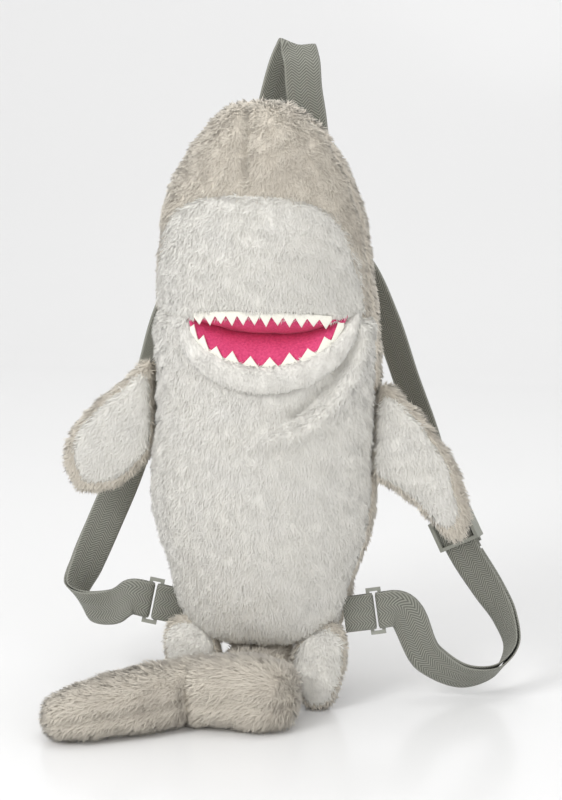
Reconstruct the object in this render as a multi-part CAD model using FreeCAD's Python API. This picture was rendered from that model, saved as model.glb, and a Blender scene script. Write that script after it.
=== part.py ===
"""Plush shark backpack: fur body, jaw, fins, tail, zipped compartment, webbing handle and straps.

Millimetres, +Z up, the belly faces -Y, the wearer's back is at +Y. The pieces are drawn about a
line through the middle of the body, then all moved together so that the origin is on the floor
under the middle of the whole toy. Left and right are those of someone looking at the belly.
"""

import FreeCAD, Part
import math
import os

Vec = FreeCAD.Vector

# ---------------------------------------------------------------- driving dimensions (mm)
BODY_HEIGHT = 459.0  # from the body's bottom to the tip of the snout
BODY_BOTTOM = 44.0  # height of the body's bottom above the floor
BODY_WIDTH = 195.0
BODY_FRONT = 68.0  # depth in front of the side seams' middle plane
BODY_BACK = 66.0  # depth behind it, before the flat back
BACK_PLANE = 56.0  # the flat back that lies against the wearer
SECTION_POWER = 2.25  # 2 is an ellipse, more is squarer
FUR = 5.0  # pile and backing cloth of every fur panel
LINING = 1.5
SEAM_Y = -12.0  # side seam between the grey back and the white front
NECK_Z = 318.0  # the belly's stuffing ends here and the head's begins
LIP_Z = 330.0  # middle of the upper lip's edge
MUZZLE_HALF_WIDTH = 79.0
MUZZLE_SHOULDER_Z = 392.0
MUZZLE_TOP_Z = 428.0
DIVIDER_Y = -8.0  # the front wall of the zipped compartment
COMPARTMENT_BOTTOM = 78.0
COMPARTMENT_TOP = 306.0

CREASE_Y = -34.0  # the fold at the back of the mouth, which is the jaw's hinge
CREASE_Z = 311.0
PALATE_RISE = 0.50  # how steeply the palate climbs towards the front
TONGUE_DROP = 0.62  # how steeply the tongue falls towards the front
JAW_PROUD = 8.0  # how far the lower lip stands out from the belly
JAW_BOTTOM = 259.0
JAW_HALF_WIDTH = 68.0
JAW_BACK_SLOPE = 1.95  # steepness of the jaw's back face
JAW_GAP = 1.2
FELT = 1.4
TOOTH_COUNT = 10
TOOTH_PITCH = 10.4
UPPER_TOOTH = 8.5
LOWER_TOOTH = 9.0

FIN_GAP = 4.0  # between a fin's root and the body, filled by the seam's fur
PECTORAL_THICKNESS = 24.0
PECTORAL_LENGTH = 78.0
PECTORAL_ROOT = 84.0
PECTORAL_DROP = 58.0  # how far the tip hangs under the root's lower end
LEFT_PECTORAL_Z = 204.0  # lower end of each fin's root
RIGHT_PECTORAL_Z = 190.0
PELVIC_WIDTH = 42.0
PELVIC_HEIGHT = 66.0
PELVIC_THICKNESS = 18.0
PELVIC_X = 57.0
PELVIC_Y = -32.0

STEM_LENGTH = 44.0
STEM_HALF_WIDTH = 26.0
STEM_HALF_HEIGHT = 14.0
TAIL_THICKNESS = 52.0
TAIL_LEFT_LOBE = 146.0
TAIL_RIGHT_LOBE = 46.0
TAIL_BACK_Y = -66.0
TAIL_CHORD = 56.0
TAIL_SWEEP = 46.0  # how far the long lobe's tip comes forward
REST_CUT = 1.5  # the fur pressed flat where the tail and the fins stand

WEBBING = 30.0
WEBBING_THICKNESS = 1.6
HANDLE_BASE_Z = 464.0
HANDLE_TOP_Z = 538.0
HANDLE_STAND_OFF = 3.0  # the thickness of the fur that its ends are sewn through
HANDLE_SPREAD = 30.0  # between the middles of the loop's two sewn ends
BAR = 3.0  # thickness of the plastic rings' bars
RING_REACH = 9.6  # between the middles of a ring's two long bars
BAR_GAP = 1.1  # between a bar and the webbing folded round it
LAYER_GAP = 1.6
GLIDE_LENGTH = 26.0
GLIDE_TRAVEL = 15.0
TAB_LENGTH = 22.0
PATCH_WIDTH = 100.0
PATCH_HEIGHT = 26.0
PATCH_Z = 404.0

ZIP_BOTTOM = 112.0
ZIP_TOP = 366.0
ZIP_SLOT = 14.0
TAPE = 1.0
COIL_WIDTH = 2.4
COIL_HEIGHT = 1.8
SLIDER_LENGTH = 10.0
SLIDER_WIDTH = 8.0
SLIDER_HEIGHT = 4.0
PULL_LENGTH = 24.0
RUNNING_GAP = 0.3

# Each row: share of the height, then of the half width, the front depth and the back depth.
PROFILE = [
    (0.000, 0.42, 0.44, 0.42),
    (0.026, 0.62, 0.62, 0.60),
    (0.070, 0.74, 0.77, 0.76),
    (0.140, 0.84, 0.88, 0.88),
    (0.240, 0.98, 0.97, 0.98),
    (0.400, 1.00, 1.00, 1.00),
    (0.560, 0.97, 0.95, 1.00),
    (0.680, 0.92, 0.97, 0.97),
    (0.780, 0.875, 0.95, 0.90),
    (0.860, 0.77, 0.82, 0.76),
    (0.925, 0.58, 0.60, 0.58),
    (0.970, 0.36, 0.37, 0.36),
    (1.000, 0.10, 0.10, 0.10),
]


# ---------------------------------------------------------------- general shapes
def box(x0, x1, y0, y1, z0, z1):
    return Part.makeBox(x1 - x0, y1 - y0, z1 - z0, Vec(x0, y0, z0))


def stacked(rings, other_way=()):
    """A closed solid of flat facets through rings that all have the same number of corners.

    The sides listed in other_way are cut along their other diagonal.
    """
    count = len(rings[0])
    corners = [corner for ring in rings for corner in ring]
    facets = []
    for level in range(len(rings) - 1):
        low, high = level * count, (level + 1) * count
        for k in range(count):
            after = (k + 1) % count
            if k in other_way:
                facets.append((low + k, low + after, high + k))
                facets.append((low + after, high + after, high + k))
            else:
                facets.append((low + k, low + after, high + after))
                facets.append((low + k, high + after, high + k))
    last = (len(rings) - 1) * count
    for base, turned in ((0, True), (last, False)):
        for k in range(1, count - 1):
            facet = (base, base + k, base + k + 1)
            facets.append(facet[::-1] if turned else facet)
    shell = Part.Shape()
    shell.makeShapeFromMesh((corners, facets), 0.001)
    solid = Part.makeSolid(shell)
    return solid.reversed() if solid.Volume < 0 else solid


def prism(points, push):
    """A straight prism: a closed polygon pushed along a vector."""
    return Part.Face(Part.makePolygon(points + [points[0]])).extrude(push)


def side_prism(yz, x0, x1):
    """A polygon in the side view, pushed across the body."""
    return prism([Vec(x0, y, z) for y, z in yz], Vec(x1 - x0, 0, 0))


def front_prism(xz, y0, y1):
    """A polygon in the front view, pushed from front to back."""
    return prism([Vec(x, y0, z) for x, z in xz], Vec(0, y1 - y0, 0))


def frame_at(origin, along, normal):
    """The placement whose X runs along, whose Y is the normal and whose Z completes them."""
    x = Vec(along).normalize()
    z = x.cross(normal).normalize()
    y = z.cross(x)
    rotation = FreeCAD.Rotation(FreeCAD.Matrix(
        x.x, y.x, z.x, 0, x.y, y.y, z.y, 0, x.z, y.z, z.z, 0, 0, 0, 0, 1))
    return FreeCAD.Placement(origin, rotation)


def placed(shape, placement):
    moved = shape.copy()
    moved.Placement = placement.multiply(moved.Placement)
    return moved


# ---------------------------------------------------------------- the body's outer form
def profile_at(z):
    """Half width, front depth and back depth of the body at a height."""
    share = min(max((z - BODY_BOTTOM) / BODY_HEIGHT, 0.0), 1.0)
    for low, high in zip(PROFILE, PROFILE[1:]):
        if share <= high[0]:
            break
    t = (share - low[0]) / (high[0] - low[0])
    width, front, back = (a + (b - a) * t for a, b in zip(low[1:], high[1:]))
    return width * BODY_WIDTH / 2, front * BODY_FRONT, back * BODY_BACK


def front_y(x, z, inset=0.0):
    """Where the front of the body lies at a place in the front view."""
    half_width, front, _ = profile_at(z)
    share = min(abs(x) / (half_width - inset), 1.0)
    return -(front - inset) * (1.0 - share ** SECTION_POWER) ** (1.0 / SECTION_POWER)


def body_section(z, half_width, front, back, count=20):
    points = []
    for k in range(count):
        turn = 2 * math.pi * (k + 0.5) / count
        c, s = math.cos(turn), math.sin(turn)
        x = math.copysign(abs(c) ** (2 / SECTION_POWER), c) * half_width
        y = math.copysign(abs(s) ** (2 / SECTION_POWER), s) * (back if s > 0 else front)
        points.append(Vec(x, y, z))
    return points


def body_form(inset):
    """The body's closed form, smaller all round by the inset, with its flat back."""
    rings = []
    for share, width, front, back in PROFILE:
        z = BODY_BOTTOM + inset + share * (BODY_HEIGHT - 2 * inset)
        sizes = (width * BODY_WIDTH / 2, front * BODY_FRONT, back * BODY_BACK)
        rings.append(body_section(z, *[max(size - inset, 1.5) for size in sizes]))
    form = stacked(rings)
    reach = BODY_WIDTH
    return form.common(box(-reach, reach, -reach, BACK_PLANE - inset, 0, BODY_BOTTOM + BODY_HEIGHT + 20))


def half_space(y0, y1, z0=0.0, z1=700.0):
    return box(-200, 200, y0, y1, z0, z1)


# ---------------------------------------------------------------- mouth and jaw
def palate_z(y, lift=0.0):
    return CREASE_Z + lift + (CREASE_Y - y) * PALATE_RISE


def tongue_z(y, lift=0.0):
    return CREASE_Z + lift - (CREASE_Y - y) * TONGUE_DROP


def jaw_outline(margin):
    """The jaw's shape from the front: a bowl, open above, grown by the margin."""
    half = JAW_HALF_WIDTH + margin
    depth = CREASE_Z - JAW_BOTTOM + margin
    bowl = []
    for k in range(13):
        turn = math.pi * k / 12
        bowl.append((-half * math.cos(turn), CREASE_Z - depth * math.sin(turn)))
    return front_prism(bowl + [(half - 8, LIP_Z + 30), (-half + 8, LIP_Z + 30)], -160, 0)


def mouth_space():
    """What is cut from the head and belly: the mouth's hollow and the jaw's room."""
    far = -150.0
    reach = CREASE_Y - far
    wedge = side_prism([
        (CREASE_Y + JAW_GAP, CREASE_Z + JAW_GAP), (far, palate_z(far)),
        (far, CREASE_Z - reach * JAW_BACK_SLOPE)], -120, 120)
    return jaw_outline(JAW_GAP).common(wedge)


def jaw_block(top_lift, near):
    """The jaw's own wedge, between the tongue's face and the jaw's back face."""
    far = -150.0
    start = CREASE_Y - near
    foot = start - 2.0
    back_end = CREASE_Z - (foot - far) * JAW_BACK_SLOPE - JAW_GAP * 3
    return side_prism([
        (start, tongue_z(start, top_lift)), (far, tongue_z(far, top_lift)),
        (far, back_end), (foot, tongue_z(foot) - JAW_GAP * 3)], -120, 120)


def zigzag(base_z, drop, count, pitch, band):
    """A strip of pointed teeth from the front; base_z gives its sewn edge, drop is signed."""
    half = count * pitch / 2
    steps = [-half + k * pitch / 2 for k in range(2 * count + 1)]
    sewn = [(x, base_z(x)) for x in steps]
    edge = []
    for k, x in enumerate(steps):
        depth = band + (abs(drop) if k % 2 else 0.0)
        edge.append((x, base_z(x) + math.copysign(depth, drop)))
    return sewn + edge[::-1]


def make_mouth(forms):
    """Palate, tongue, lips' teeth and the stuffed lower jaw."""
    space = mouth_space()
    palate = side_prism([
        (CREASE_Y + JAW_GAP, CREASE_Z + JAW_GAP), (-120, palate_z(-120)),
        (-120, palate_z(-120, LINING)), (CREASE_Y + JAW_GAP, CREASE_Z + JAW_GAP + LINING)], -58, 58)
    palate = palate.cut(space).common(forms["inner"])

    upper_inset = 1.0 + FELT / 2
    above = side_prism([
        (CREASE_Y, CREASE_Z), (-150, palate_z(-150)), (-150, 500), (CREASE_Y, 500)], -120, 120)
    upper = zigzag(lambda x: palate_z(front_y(x, LIP_Z, upper_inset)) + 1.0,
                   -UPPER_TOOTH, TOOTH_COUNT, TOOTH_PITCH, 3.0)
    band = body_form(1.0).cut(body_form(1.0 + FELT))
    upper_teeth = band.common(front_prism(upper, -150, CREASE_Y)).cut(above)

    outline = jaw_outline(0.0)
    proud = body_form(-JAW_PROUD)
    cloth = body_form(-JAW_PROUD + FUR)
    whole = outline.common(jaw_block(0.0, 3.0))
    filling = outline.common(jaw_block(-LINING, 3.0))
    tongue = whole.cut(filling).common(proud)
    lip = filling.common(proud.cut(cloth))
    stuffing = filling.common(cloth)

    lower_inset = -JAW_PROUD + 2.0
    lower = zigzag(lambda x: tongue_z(front_y(x, CREASE_Z - 20, lower_inset)) - 1.0,
                   LOWER_TOOTH, TOOTH_COUNT, TOOTH_PITCH * 0.9, 3.0)
    below = side_prism([
        (CREASE_Y, CREASE_Z), (-150, tongue_z(-150)), (-150, 0), (CREASE_Y, 0)], -120, 120)
    band = body_form(lower_inset).cut(body_form(lower_inset + FELT))
    lower_teeth = band.common(front_prism(lower, -150, CREASE_Y)).cut(below)
    return {"palate_lining": palate, "upper_teeth": upper_teeth, "tongue_lining": tongue,
            "jaw_lip": lip, "jaw_stuffing": stuffing, "lower_teeth": lower_teeth}


# ---------------------------------------------------------------- body panels and what they hold
def muzzle_outline():
    """The white muzzle from the front: straight sides and an arched top."""
    half, side = MUZZLE_HALF_WIDTH, MUZZLE_SHOULDER_Z
    arch = []
    for k in range(13):
        turn = math.pi * k / 12
        arch.append((half * math.cos(turn), side + (MUZZLE_TOP_Z - side) * math.sin(turn)))
    return front_prism(arch + [(-half, NECK_Z), (half, NECK_Z)], -150, 0)


def zip_slot():
    return box(-ZIP_SLOT / 2, ZIP_SLOT / 2, BACK_PLANE - 30, BACK_PLANE + 30, ZIP_BOTTOM, ZIP_TOP)


def make_panels(forms):
    """Every fur panel of the body and head, each a shell as thick as its pile."""
    shell = forms["outer"].cut(forms["inner"])
    space = mouth_space()
    muzzle = muzzle_outline()
    front = shell.common(half_space(-200, SEAM_Y))
    head = front.common(half_space(-200, SEAM_Y, NECK_Z)).cut(space)
    snout = head.cut(muzzle)
    return {
        "back_panel": shell.common(half_space(SEAM_Y, 200)).cut(zip_slot()),
        "belly_panel": front.common(half_space(-200, SEAM_Y, 0, NECK_Z)).cut(space),
        "muzzle_panel": head.common(muzzle),
        "snout_panel_left": snout.common(box(-200, 0, -200, 200, 0, 700)),
        "snout_panel_right": snout.common(box(0, 200, -200, 200, 0, 700)),
    }


def make_filling(forms):
    """Head stuffing, belly stuffing, and the lined compartment behind the belly."""
    inner = forms["inner"]
    lining_inside = forms["lining"]
    space = mouth_space()
    tape_room = box(-ZIP_SLOT / 2 - 6, ZIP_SLOT / 2 + 6, BACK_PLANE - FUR - LINING - 3, BACK_PLANE,
                    ZIP_BOTTOM - 6, ZIP_TOP + 6)
    palate = side_prism([
        (CREASE_Y + JAW_GAP, CREASE_Z + JAW_GAP), (-120, palate_z(-120)),
        (-120, palate_z(-120, LINING)), (CREASE_Y + JAW_GAP, CREASE_Z + JAW_GAP + LINING)], -58, 58)
    bag = half_space(DIVIDER_Y, 200, COMPARTMENT_BOTTOM, COMPARTMENT_TOP)
    hollow = half_space(DIVIDER_Y + LINING, 200, COMPARTMENT_BOTTOM + LINING, COMPARTMENT_TOP - LINING)
    stuffing = inner.cut(bag).cut(space).cut(palate).cut(tape_room)
    slot = box(-ZIP_SLOT / 2, ZIP_SLOT / 2, BACK_PLANE - 30, BACK_PLANE, ZIP_BOTTOM, ZIP_TOP)
    lining = inner.common(bag).cut(lining_inside.common(hollow)).cut(slot)
    return {
        "head_stuffing": stuffing.common(half_space(-200, 200, NECK_Z)),
        "belly_stuffing": stuffing.common(half_space(-200, 200, 0, NECK_Z)),
        "compartment_lining": lining,
    }


# ---------------------------------------------------------------- zip
def make_zip():
    """Two tapes and coils, their stops, and the slider with its pull, on the flat back."""
    tape_y = BACK_PLANE - FUR + 0.5
    coil_y = tape_y + TAPE
    half = ZIP_SLOT / 2
    slide_z = ZIP_TOP - 24
    parts = {}
    for side, name in ((-1, "left"), (1, "right")):
        x0, x1 = sorted((side * 0.1, side * half))
        parts[f"zip_tape_{name}"] = box(x0, x1, tape_y, tape_y + TAPE, ZIP_BOTTOM, ZIP_TOP)
        x0, x1 = sorted((side * 0.1, side * COIL_WIDTH))
        parts[f"zip_coil_{name}"] = box(
            x0, x1, coil_y, coil_y + COIL_HEIGHT, ZIP_BOTTOM + 6, ZIP_TOP - 6)
    for name, z in (("bottom", ZIP_BOTTOM + 3), ("top", ZIP_TOP - 6)):
        parts[f"zip_stop_{name}"] = box(
            -COIL_WIDTH - 1, COIL_WIDTH + 1, coil_y, coil_y + COIL_HEIGHT + 0.6, z, z + 3)
    low = coil_y + RUNNING_GAP
    top = coil_y + COIL_HEIGHT + RUNNING_GAP
    body = box(-SLIDER_WIDTH / 2, SLIDER_WIDTH / 2, low, low + SLIDER_HEIGHT,
               slide_z - SLIDER_LENGTH / 2, slide_z + SLIDER_LENGTH / 2)
    channel = box(-COIL_WIDTH - RUNNING_GAP, COIL_WIDTH + RUNNING_GAP, low - 1, top, 0, 600)
    bridge_y = low + SLIDER_HEIGHT
    posts = [box(-1.2, 1.2, bridge_y, bridge_y + 3.6, z, z + 1.4) for z in (slide_z - 3.6, slide_z + 2.3)]
    bridge = box(-1.2, 1.2, bridge_y + 2.5, bridge_y + 3.7, slide_z - 3.6, slide_z + 3.7)
    parts["zip_slider"] = body.cut(channel).fuse(posts + [bridge]).removeSplitter()
    pull_y = bridge_y + 2 * RUNNING_GAP
    plate = box(-3.5, 3.5, pull_y, pull_y + 1.2, slide_z - PULL_LENGTH, slide_z + 2.0)
    window = box(-1.6, 1.6, pull_y - 1, pull_y + 3, slide_z - 5.0, slide_z + 0.2)
    finger = box(-1.8, 1.8, pull_y - 1, pull_y + 3, slide_z - 18, slide_z - 9)
    parts["zip_pull"] = plate.cut(window).cut(finger)
    return parts


# ---------------------------------------------------------------- padded fins and tail
def shrunk(points, inset):
    """A closed outline, counterclockwise, moved inwards along its own normals."""
    count = len(points)
    moved = []
    for k, (x, y) in enumerate(points):
        (px, py), (nx, ny) = points[k - 1], points[(k + 1) % count]
        tx, ty = nx - px, ny - py
        length = math.hypot(tx, ty)
        moved.append((x - ty / length * inset, y + tx / length * inset))
    return moved


def pillow(points, thickness, inset=0.0, levels=3):
    """A padded shape: the outline's edge is round, its two faces are nearly flat."""
    half = thickness / 2 - inset
    edge = min(thickness / 2, 13.0) - inset
    rings = []
    for k in range(-levels, levels + 1):
        turn = math.radians(86) * k / levels
        ring = shrunk(points, inset + edge * (1 - math.cos(turn)) * 0.9)
        rings.append([Vec(x, y, half * math.sin(turn)) for x, y in ring])
    return stacked(rings)


def across_body(parts):
    """The same pieces on the other side of the body."""
    return {name: shape.mirror(Vec(0, 0, 0), Vec(1, 0, 0)) for name, shape in parts.items()}


def padded_set(points, thickness, split, names, placement, trim=None):
    """Face panel, back panel and stuffing of one padded fin, split across its thickness."""
    outer = placed(pillow(points, thickness), placement)
    inner = placed(pillow(points, thickness, FUR), placement)
    if trim:
        outer = outer.common(trim[0])
        inner = inner.common(trim[1])
    skin = outer.cut(inner)
    upper_half = placed(box(-300, 300, -300, 300, split, 100), placement)
    lower_half = placed(box(-300, 300, -300, 300, -100, split), placement)
    return {names[0]: skin.common(upper_half), names[1]: skin.common(lower_half), names[2]: inner}


def make_pectoral(side, root_z):
    """A pectoral fin: grey on its back, white below, hanging out and down from the side seam."""
    name = "right" if side > 0 else "left"
    length, root, drop = PECTORAL_LENGTH, PECTORAL_ROOT, PECTORAL_DROP
    outline = [
        (length * 0.12, -drop * 0.14), (length * 0.34, -drop * 0.36), (length * 0.62, -drop * 0.70),
        (length * 0.86, -drop * 0.92), (length * 1.0, -drop * 0.62), (length * 0.94, -root * 0.02),
        (length * 0.68, root * 0.42), (length * 0.30, root * 0.80), (2, root), (0, root * 0.5), (0, 0)]
    placement = frame_at(Vec(BODY_WIDTH / 2 + FIN_GAP, SEAM_Y, root_z), Vec(1, 0, 0), Vec(0, 0, 1))
    names = [f"{name}_pectoral_underside", f"{name}_pectoral_top", f"{name}_pectoral_stuffing"]
    fin = padded_set(outline, PECTORAL_THICKNESS, PECTORAL_THICKNESS * 0.2, names, placement)
    return fin if side > 0 else across_body(fin)


def make_pelvic(side):
    """A pelvic fin: a small rounded fin that hangs from the body's bottom to the floor."""
    name = "right" if side > 0 else "left"
    half, height = PELVIC_WIDTH / 2, PELVIC_HEIGHT
    outline = [
        (-half * 0.80, height), (-half * 0.95, height * 0.62), (-half * 0.72, height * 0.28),
        (-half * 0.10, 0), (half * 0.52, -2), (half * 0.95, height * 0.20),
        (half * 1.0, height * 0.60), (half * 0.82, height)]
    placement = frame_at(Vec(PELVIC_X, PELVIC_Y, 0), Vec(1, 0, 0), Vec(0, 0, 1))
    room = body_form(-FIN_GAP)
    trims = []
    for inset in (0.0, FUR):
        trims.append(half_space(-200, 200, inset, 300).cut(room))
    names = [f"{name}_pelvic_front", f"{name}_pelvic_back", f"{name}_pelvic_stuffing"]
    fin = padded_set(outline, PELVIC_THICKNESS, PELVIC_THICKNESS * 0.1, names, placement, trims)
    return fin if side > 0 else across_body(fin)


def stem_section(y, z, half_width, half_height):
    points = []
    for k in range(12):
        turn = 2 * math.pi * k / 12
        points.append(Vec(math.cos(turn) * half_width, y, z + math.sin(turn) * half_height))
    return points


def make_stem():
    """The tail's stem: a stuffed sleeve from under the body forwards to the tail fin."""
    start = -16.0
    end = TAIL_BACK_Y + FIN_GAP
    solids = []
    for inset in (0.0, FUR):
        rings = []
        for share in (0.0, 0.5, 1.0):
            y = start + (end - start) * share
            y -= inset * (1 - 2 * share)
            width = STEM_HALF_WIDTH * (1 - 0.12 * share) - inset
            z = BODY_BOTTOM - STEM_HALF_HEIGHT - 3.5 - 3.0 * share
            rings.append(stem_section(y, z, width, STEM_HALF_HEIGHT - inset))
        solids.append(stacked(rings))
    return {"tail_stem_sleeve": solids[0].cut(solids[1]), "tail_stem_stuffing": solids[1]}


def make_tail_fin():
    """The tail fin: a long left lobe and a round right one, lying on the floor."""
    left, right, back = TAIL_LEFT_LOBE, TAIL_RIGHT_LOBE, TAIL_BACK_Y
    front = back - TAIL_CHORD
    tip = front - TAIL_SWEEP
    outline = [
        (right * 0.30, back - 1), (-right * 0.60, back), (-right * 1.5, back - 6),
        (-left * 0.52, back - 27), (-left * 0.76, back - 52), (-left * 0.97, back - 77),
        (-left, tip + 8), (-left * 0.88, tip), (-left * 0.66, tip + 16), (-left * 0.45, front - 8),
        (-left * 0.30, front + 4), (-right * 0.6, front), (right * 0.2, front + 1),
        (right * 0.92, front + 17), (right, back - 20), (right * 0.82, back - 6)]
    centre = TAIL_THICKNESS / 2 - REST_CUT
    placement = FreeCAD.Placement(Vec(0, 0, centre), FreeCAD.Rotation())
    trims = [half_space(-300, 300, 0, 300), half_space(-300, 300, FUR, 300)]
    names = ["tail_fin_upper", "tail_fin_lower", "tail_fin_stuffing"]
    return padded_set(outline, TAIL_THICKNESS, 0.0, names, placement, trims)


# ---------------------------------------------------------------- webbing and plastic
def ribbon(route, thickness=WEBBING_THICKNESS, width=WEBBING):
    """A flat band along a route of (place, direction across the band).

    Both broad faces are cut along the same diagonal, so that they stay apart where it twists.
    """
    rings = []
    count = len(route)
    for k, (point, across) in enumerate(route):
        before = route[max(k - 1, 0)][0]
        after = route[min(k + 1, count - 1)][0]
        tangent = (after - before).normalize()
        across = (across - tangent * across.dot(tangent)).normalize()
        normal = tangent.cross(across)
        corners = []
        for u, v in ((1, 1), (-1, 1), (-1, -1), (1, -1)):
            corners.append(point + across * (u * width / 2) + normal * (v * thickness / 2))
        rings.append(corners)
    return stacked(rings, other_way=(2,))


def eased(route, parts):
    """The same route with more places: each leg is a cubic whose slopes follow its neighbours."""
    count = len(route)
    legs = [max((route[k + 1][0] - route[k][0]).Length, 1e-6) for k in range(count - 1)]

    def slope(k, item):
        before = (route[k][item] - route[k - 1][item]) / legs[k - 1] if k > 0 else None
        after = (route[k + 1][item] - route[k][item]) / legs[k] if k < count - 1 else None
        if before is None or after is None:
            return after if before is None else before
        return (before * legs[k] + after * legs[k - 1]) / (legs[k - 1] + legs[k])

    places = []
    for k in range(count - 1):
        for part in range(parts):
            t = part / parts
            row = []
            for item in (0, 1):
                row.append(route[k][item] * (2 * t ** 3 - 3 * t ** 2 + 1)
                           + slope(k, item) * (legs[k] * (t ** 3 - 2 * t ** 2 + t))
                           + route[k + 1][item] * (3 * t ** 2 - 2 * t ** 3)
                           + slope(k + 1, item) * (legs[k] * (t ** 3 - t ** 2)))
            places.append(tuple(row))
    return places + [route[-1]]


def make_handle():
    """The hanging loop: one webbing, folded over, sewn behind the top of the head."""
    rise = HANDLE_TOP_Z - HANDLE_BASE_Z
    near = profile_at(HANDLE_BASE_Z)[2] + HANDLE_STAND_OFF
    spread = HANDLE_SPREAD / 34
    places = [  # across, back, share of the rise, and the webbing's direction
        (-2, 4, 0.03, (0.85, 0.4, 0.1)), (-2, 9, 0.27, (0.8, 0.5, 0.1)), (1, 12, 0.53, (0.8, 0.5, 0)),
        (7, 11, 0.76, (0.83, 0.5, 0)), (13, 7, 0.92, (0.85, 0.5, 0)), (18, 2, 0.985, (0.8, 0.6, -0.15)),
        (22, -4, 0.93, (0.9, 0.4, -0.2)), (25, -7, 0.757, (1, 0.2, -0.25)), (27, -7, 0.53, (1, 0.05, -0.25)),
        (30, -5, 0.27, (1, 0, -0.2)), (32, -4, 0.04, (1, -0.05, -0.2))]
    route = []
    for x, back, share, across in places:
        route.append((Vec(x * spread, near + back, HANDLE_BASE_Z + rise * share), Vec(*across)))
    return {"hanging_loop": ribbon(route)}


def half_turn(centre, along, normal, radius, steps=6):
    """Places on a half circle that starts at +normal, bulges towards -along, ends at -normal."""
    places = []
    for k in range(steps + 1):
        turn = math.pi * k / steps
        places.append(centre + normal * (radius * math.cos(turn)) - along * (radius * math.sin(turn)))
    return places


def ring_frame(route):
    """Ring's centre bar place, the way out along the strap, the bars' direction and the normal."""
    anchor, bar = route["anchor"][0], route["ring"]
    across = (anchor - bar).normalize()
    out = route["leave"]
    out = (out - across * out.dot(across)).normalize()
    return bar, out, across, across.cross(out)


def fold_radius():
    return BAR / 2 + BAR_GAP + WEBBING_THICKNESS / 2


def make_ring(route, name):
    bar, out, across, normal = ring_frame(route)
    window = WEBBING + 3.0
    placement = frame_at(bar, out, normal)
    outer = box(-BAR / 2, RING_REACH + BAR / 2, -BAR / 2, BAR / 2, -window / 2 - BAR, window / 2 + BAR)
    inner = box(BAR / 2, RING_REACH - BAR / 2, -BAR, BAR, -window / 2, window / 2)
    return {f"{name}_strap_ring": placed(outer.cut(inner), placement)}


def make_tab(route, name):
    """The webbing tab in the side seam, folded round the ring's inner bar."""
    bar, out, across, normal = ring_frame(route)
    radius = fold_radius()
    near = [bar - out * TAB_LENGTH + normal * 1.1, bar - out * 8 + normal * (radius - 0.4)]
    turn = half_turn(bar, out * -1, normal, radius)
    far = [bar - out * 8 - normal * (radius - 0.4), bar - out * TAB_LENGTH - normal * 1.1]
    tab = ribbon([(p, across) for p in near + turn + far])
    return {f"{name}_strap_tab": tab.cut(body_form(0.0))}


def make_strap(route, name):
    """The shoulder strap: from the patch, through the tri-glide, round the ring and back."""
    bar, out, across, normal = ring_frame(route)
    radius = fold_radius()
    pivot = bar + out * RING_REACH
    glide, glide_along, glide_across = route["glide"]
    glide_along = Vec(glide_along).normalize()
    glide_across = (glide_across - glide_along * glide_across.dot(glide_along)).normalize()
    glide_normal = glide_along.cross(glide_across)
    single = list(route["upper"])
    straight_up = GLIDE_LENGTH / 2 + GLIDE_TRAVEL + 6
    straight_down = GLIDE_LENGTH / 2 + 12
    single.append((glide + glide_along * straight_up, glide_across))
    single.append((glide - glide_along * straight_down, glide_across))
    turn = half_turn(pivot, out, normal, radius)
    away = pivot + out * 12
    track = eased([single[-1]] + list(route["lower"]) + [(away + normal * (radius - 0.5), across)], 4)
    main = single[:-1] + track + [(p, across) for p in turn]
    back = [(away - normal * (radius - 0.5), across)]
    step = LAYER_GAP + WEBBING_THICKNESS
    for k in range(len(track) - 3, 0, -1):
        tangent = (track[k + 1][0] - track[k - 1][0]).normalize()
        side = (track[k][1] - tangent * track[k][1].dot(tangent)).normalize()
        face = tangent.cross(side)
        back.append((track[k][0] - face * step, track[k][1]))
    parts = {f"{name}_shoulder_strap": ribbon(main + back)}
    parts.update(make_glide(glide, glide_along, glide_normal * -1, name, step))
    return parts


def make_glide(centre, along, normal, name, step):
    """The tri-glide and the strap's sewn end, folded round its middle bar."""
    placement = frame_at(centre, along, normal)
    half = WEBBING / 2 + 1.0
    radius = fold_radius()
    middle = -(step + radius) + 0.4
    cheeks = [box(-GLIDE_LENGTH / 2, GLIDE_LENGTH / 2, middle - BAR / 2, 4.3, z, z + BAR)
              for z in (-half - BAR, half)]
    bars = [box(x - BAR / 2, x + BAR / 2, 1.3, 4.3, -half - BAR, half + BAR)
            for x in (-GLIDE_LENGTH / 2 + BAR / 2, GLIDE_LENGTH / 2 - BAR / 2)]
    bars.append(box(-BAR / 2, BAR / 2, middle - BAR / 2, middle + BAR / 2, -half - BAR, half + BAR))
    frame = cheeks[0].fuse(cheeks[1:] + bars).removeSplitter()
    places = [Vec(-GLIDE_LENGTH / 2 - 8, middle + radius, 0)]
    places += half_turn(Vec(0, middle, 0), Vec(-1, 0, 0), Vec(0, 1, 0), radius)
    places.append(Vec(-GLIDE_LENGTH / 2 - 4, middle - radius + 1.6, 0))
    loop = ribbon([(p, Vec(0, 0, 1)) for p in places])
    return {f"{name}_tri_glide": placed(frame, placement),
            f"{name}_strap_end": placed(loop, placement)}


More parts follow.
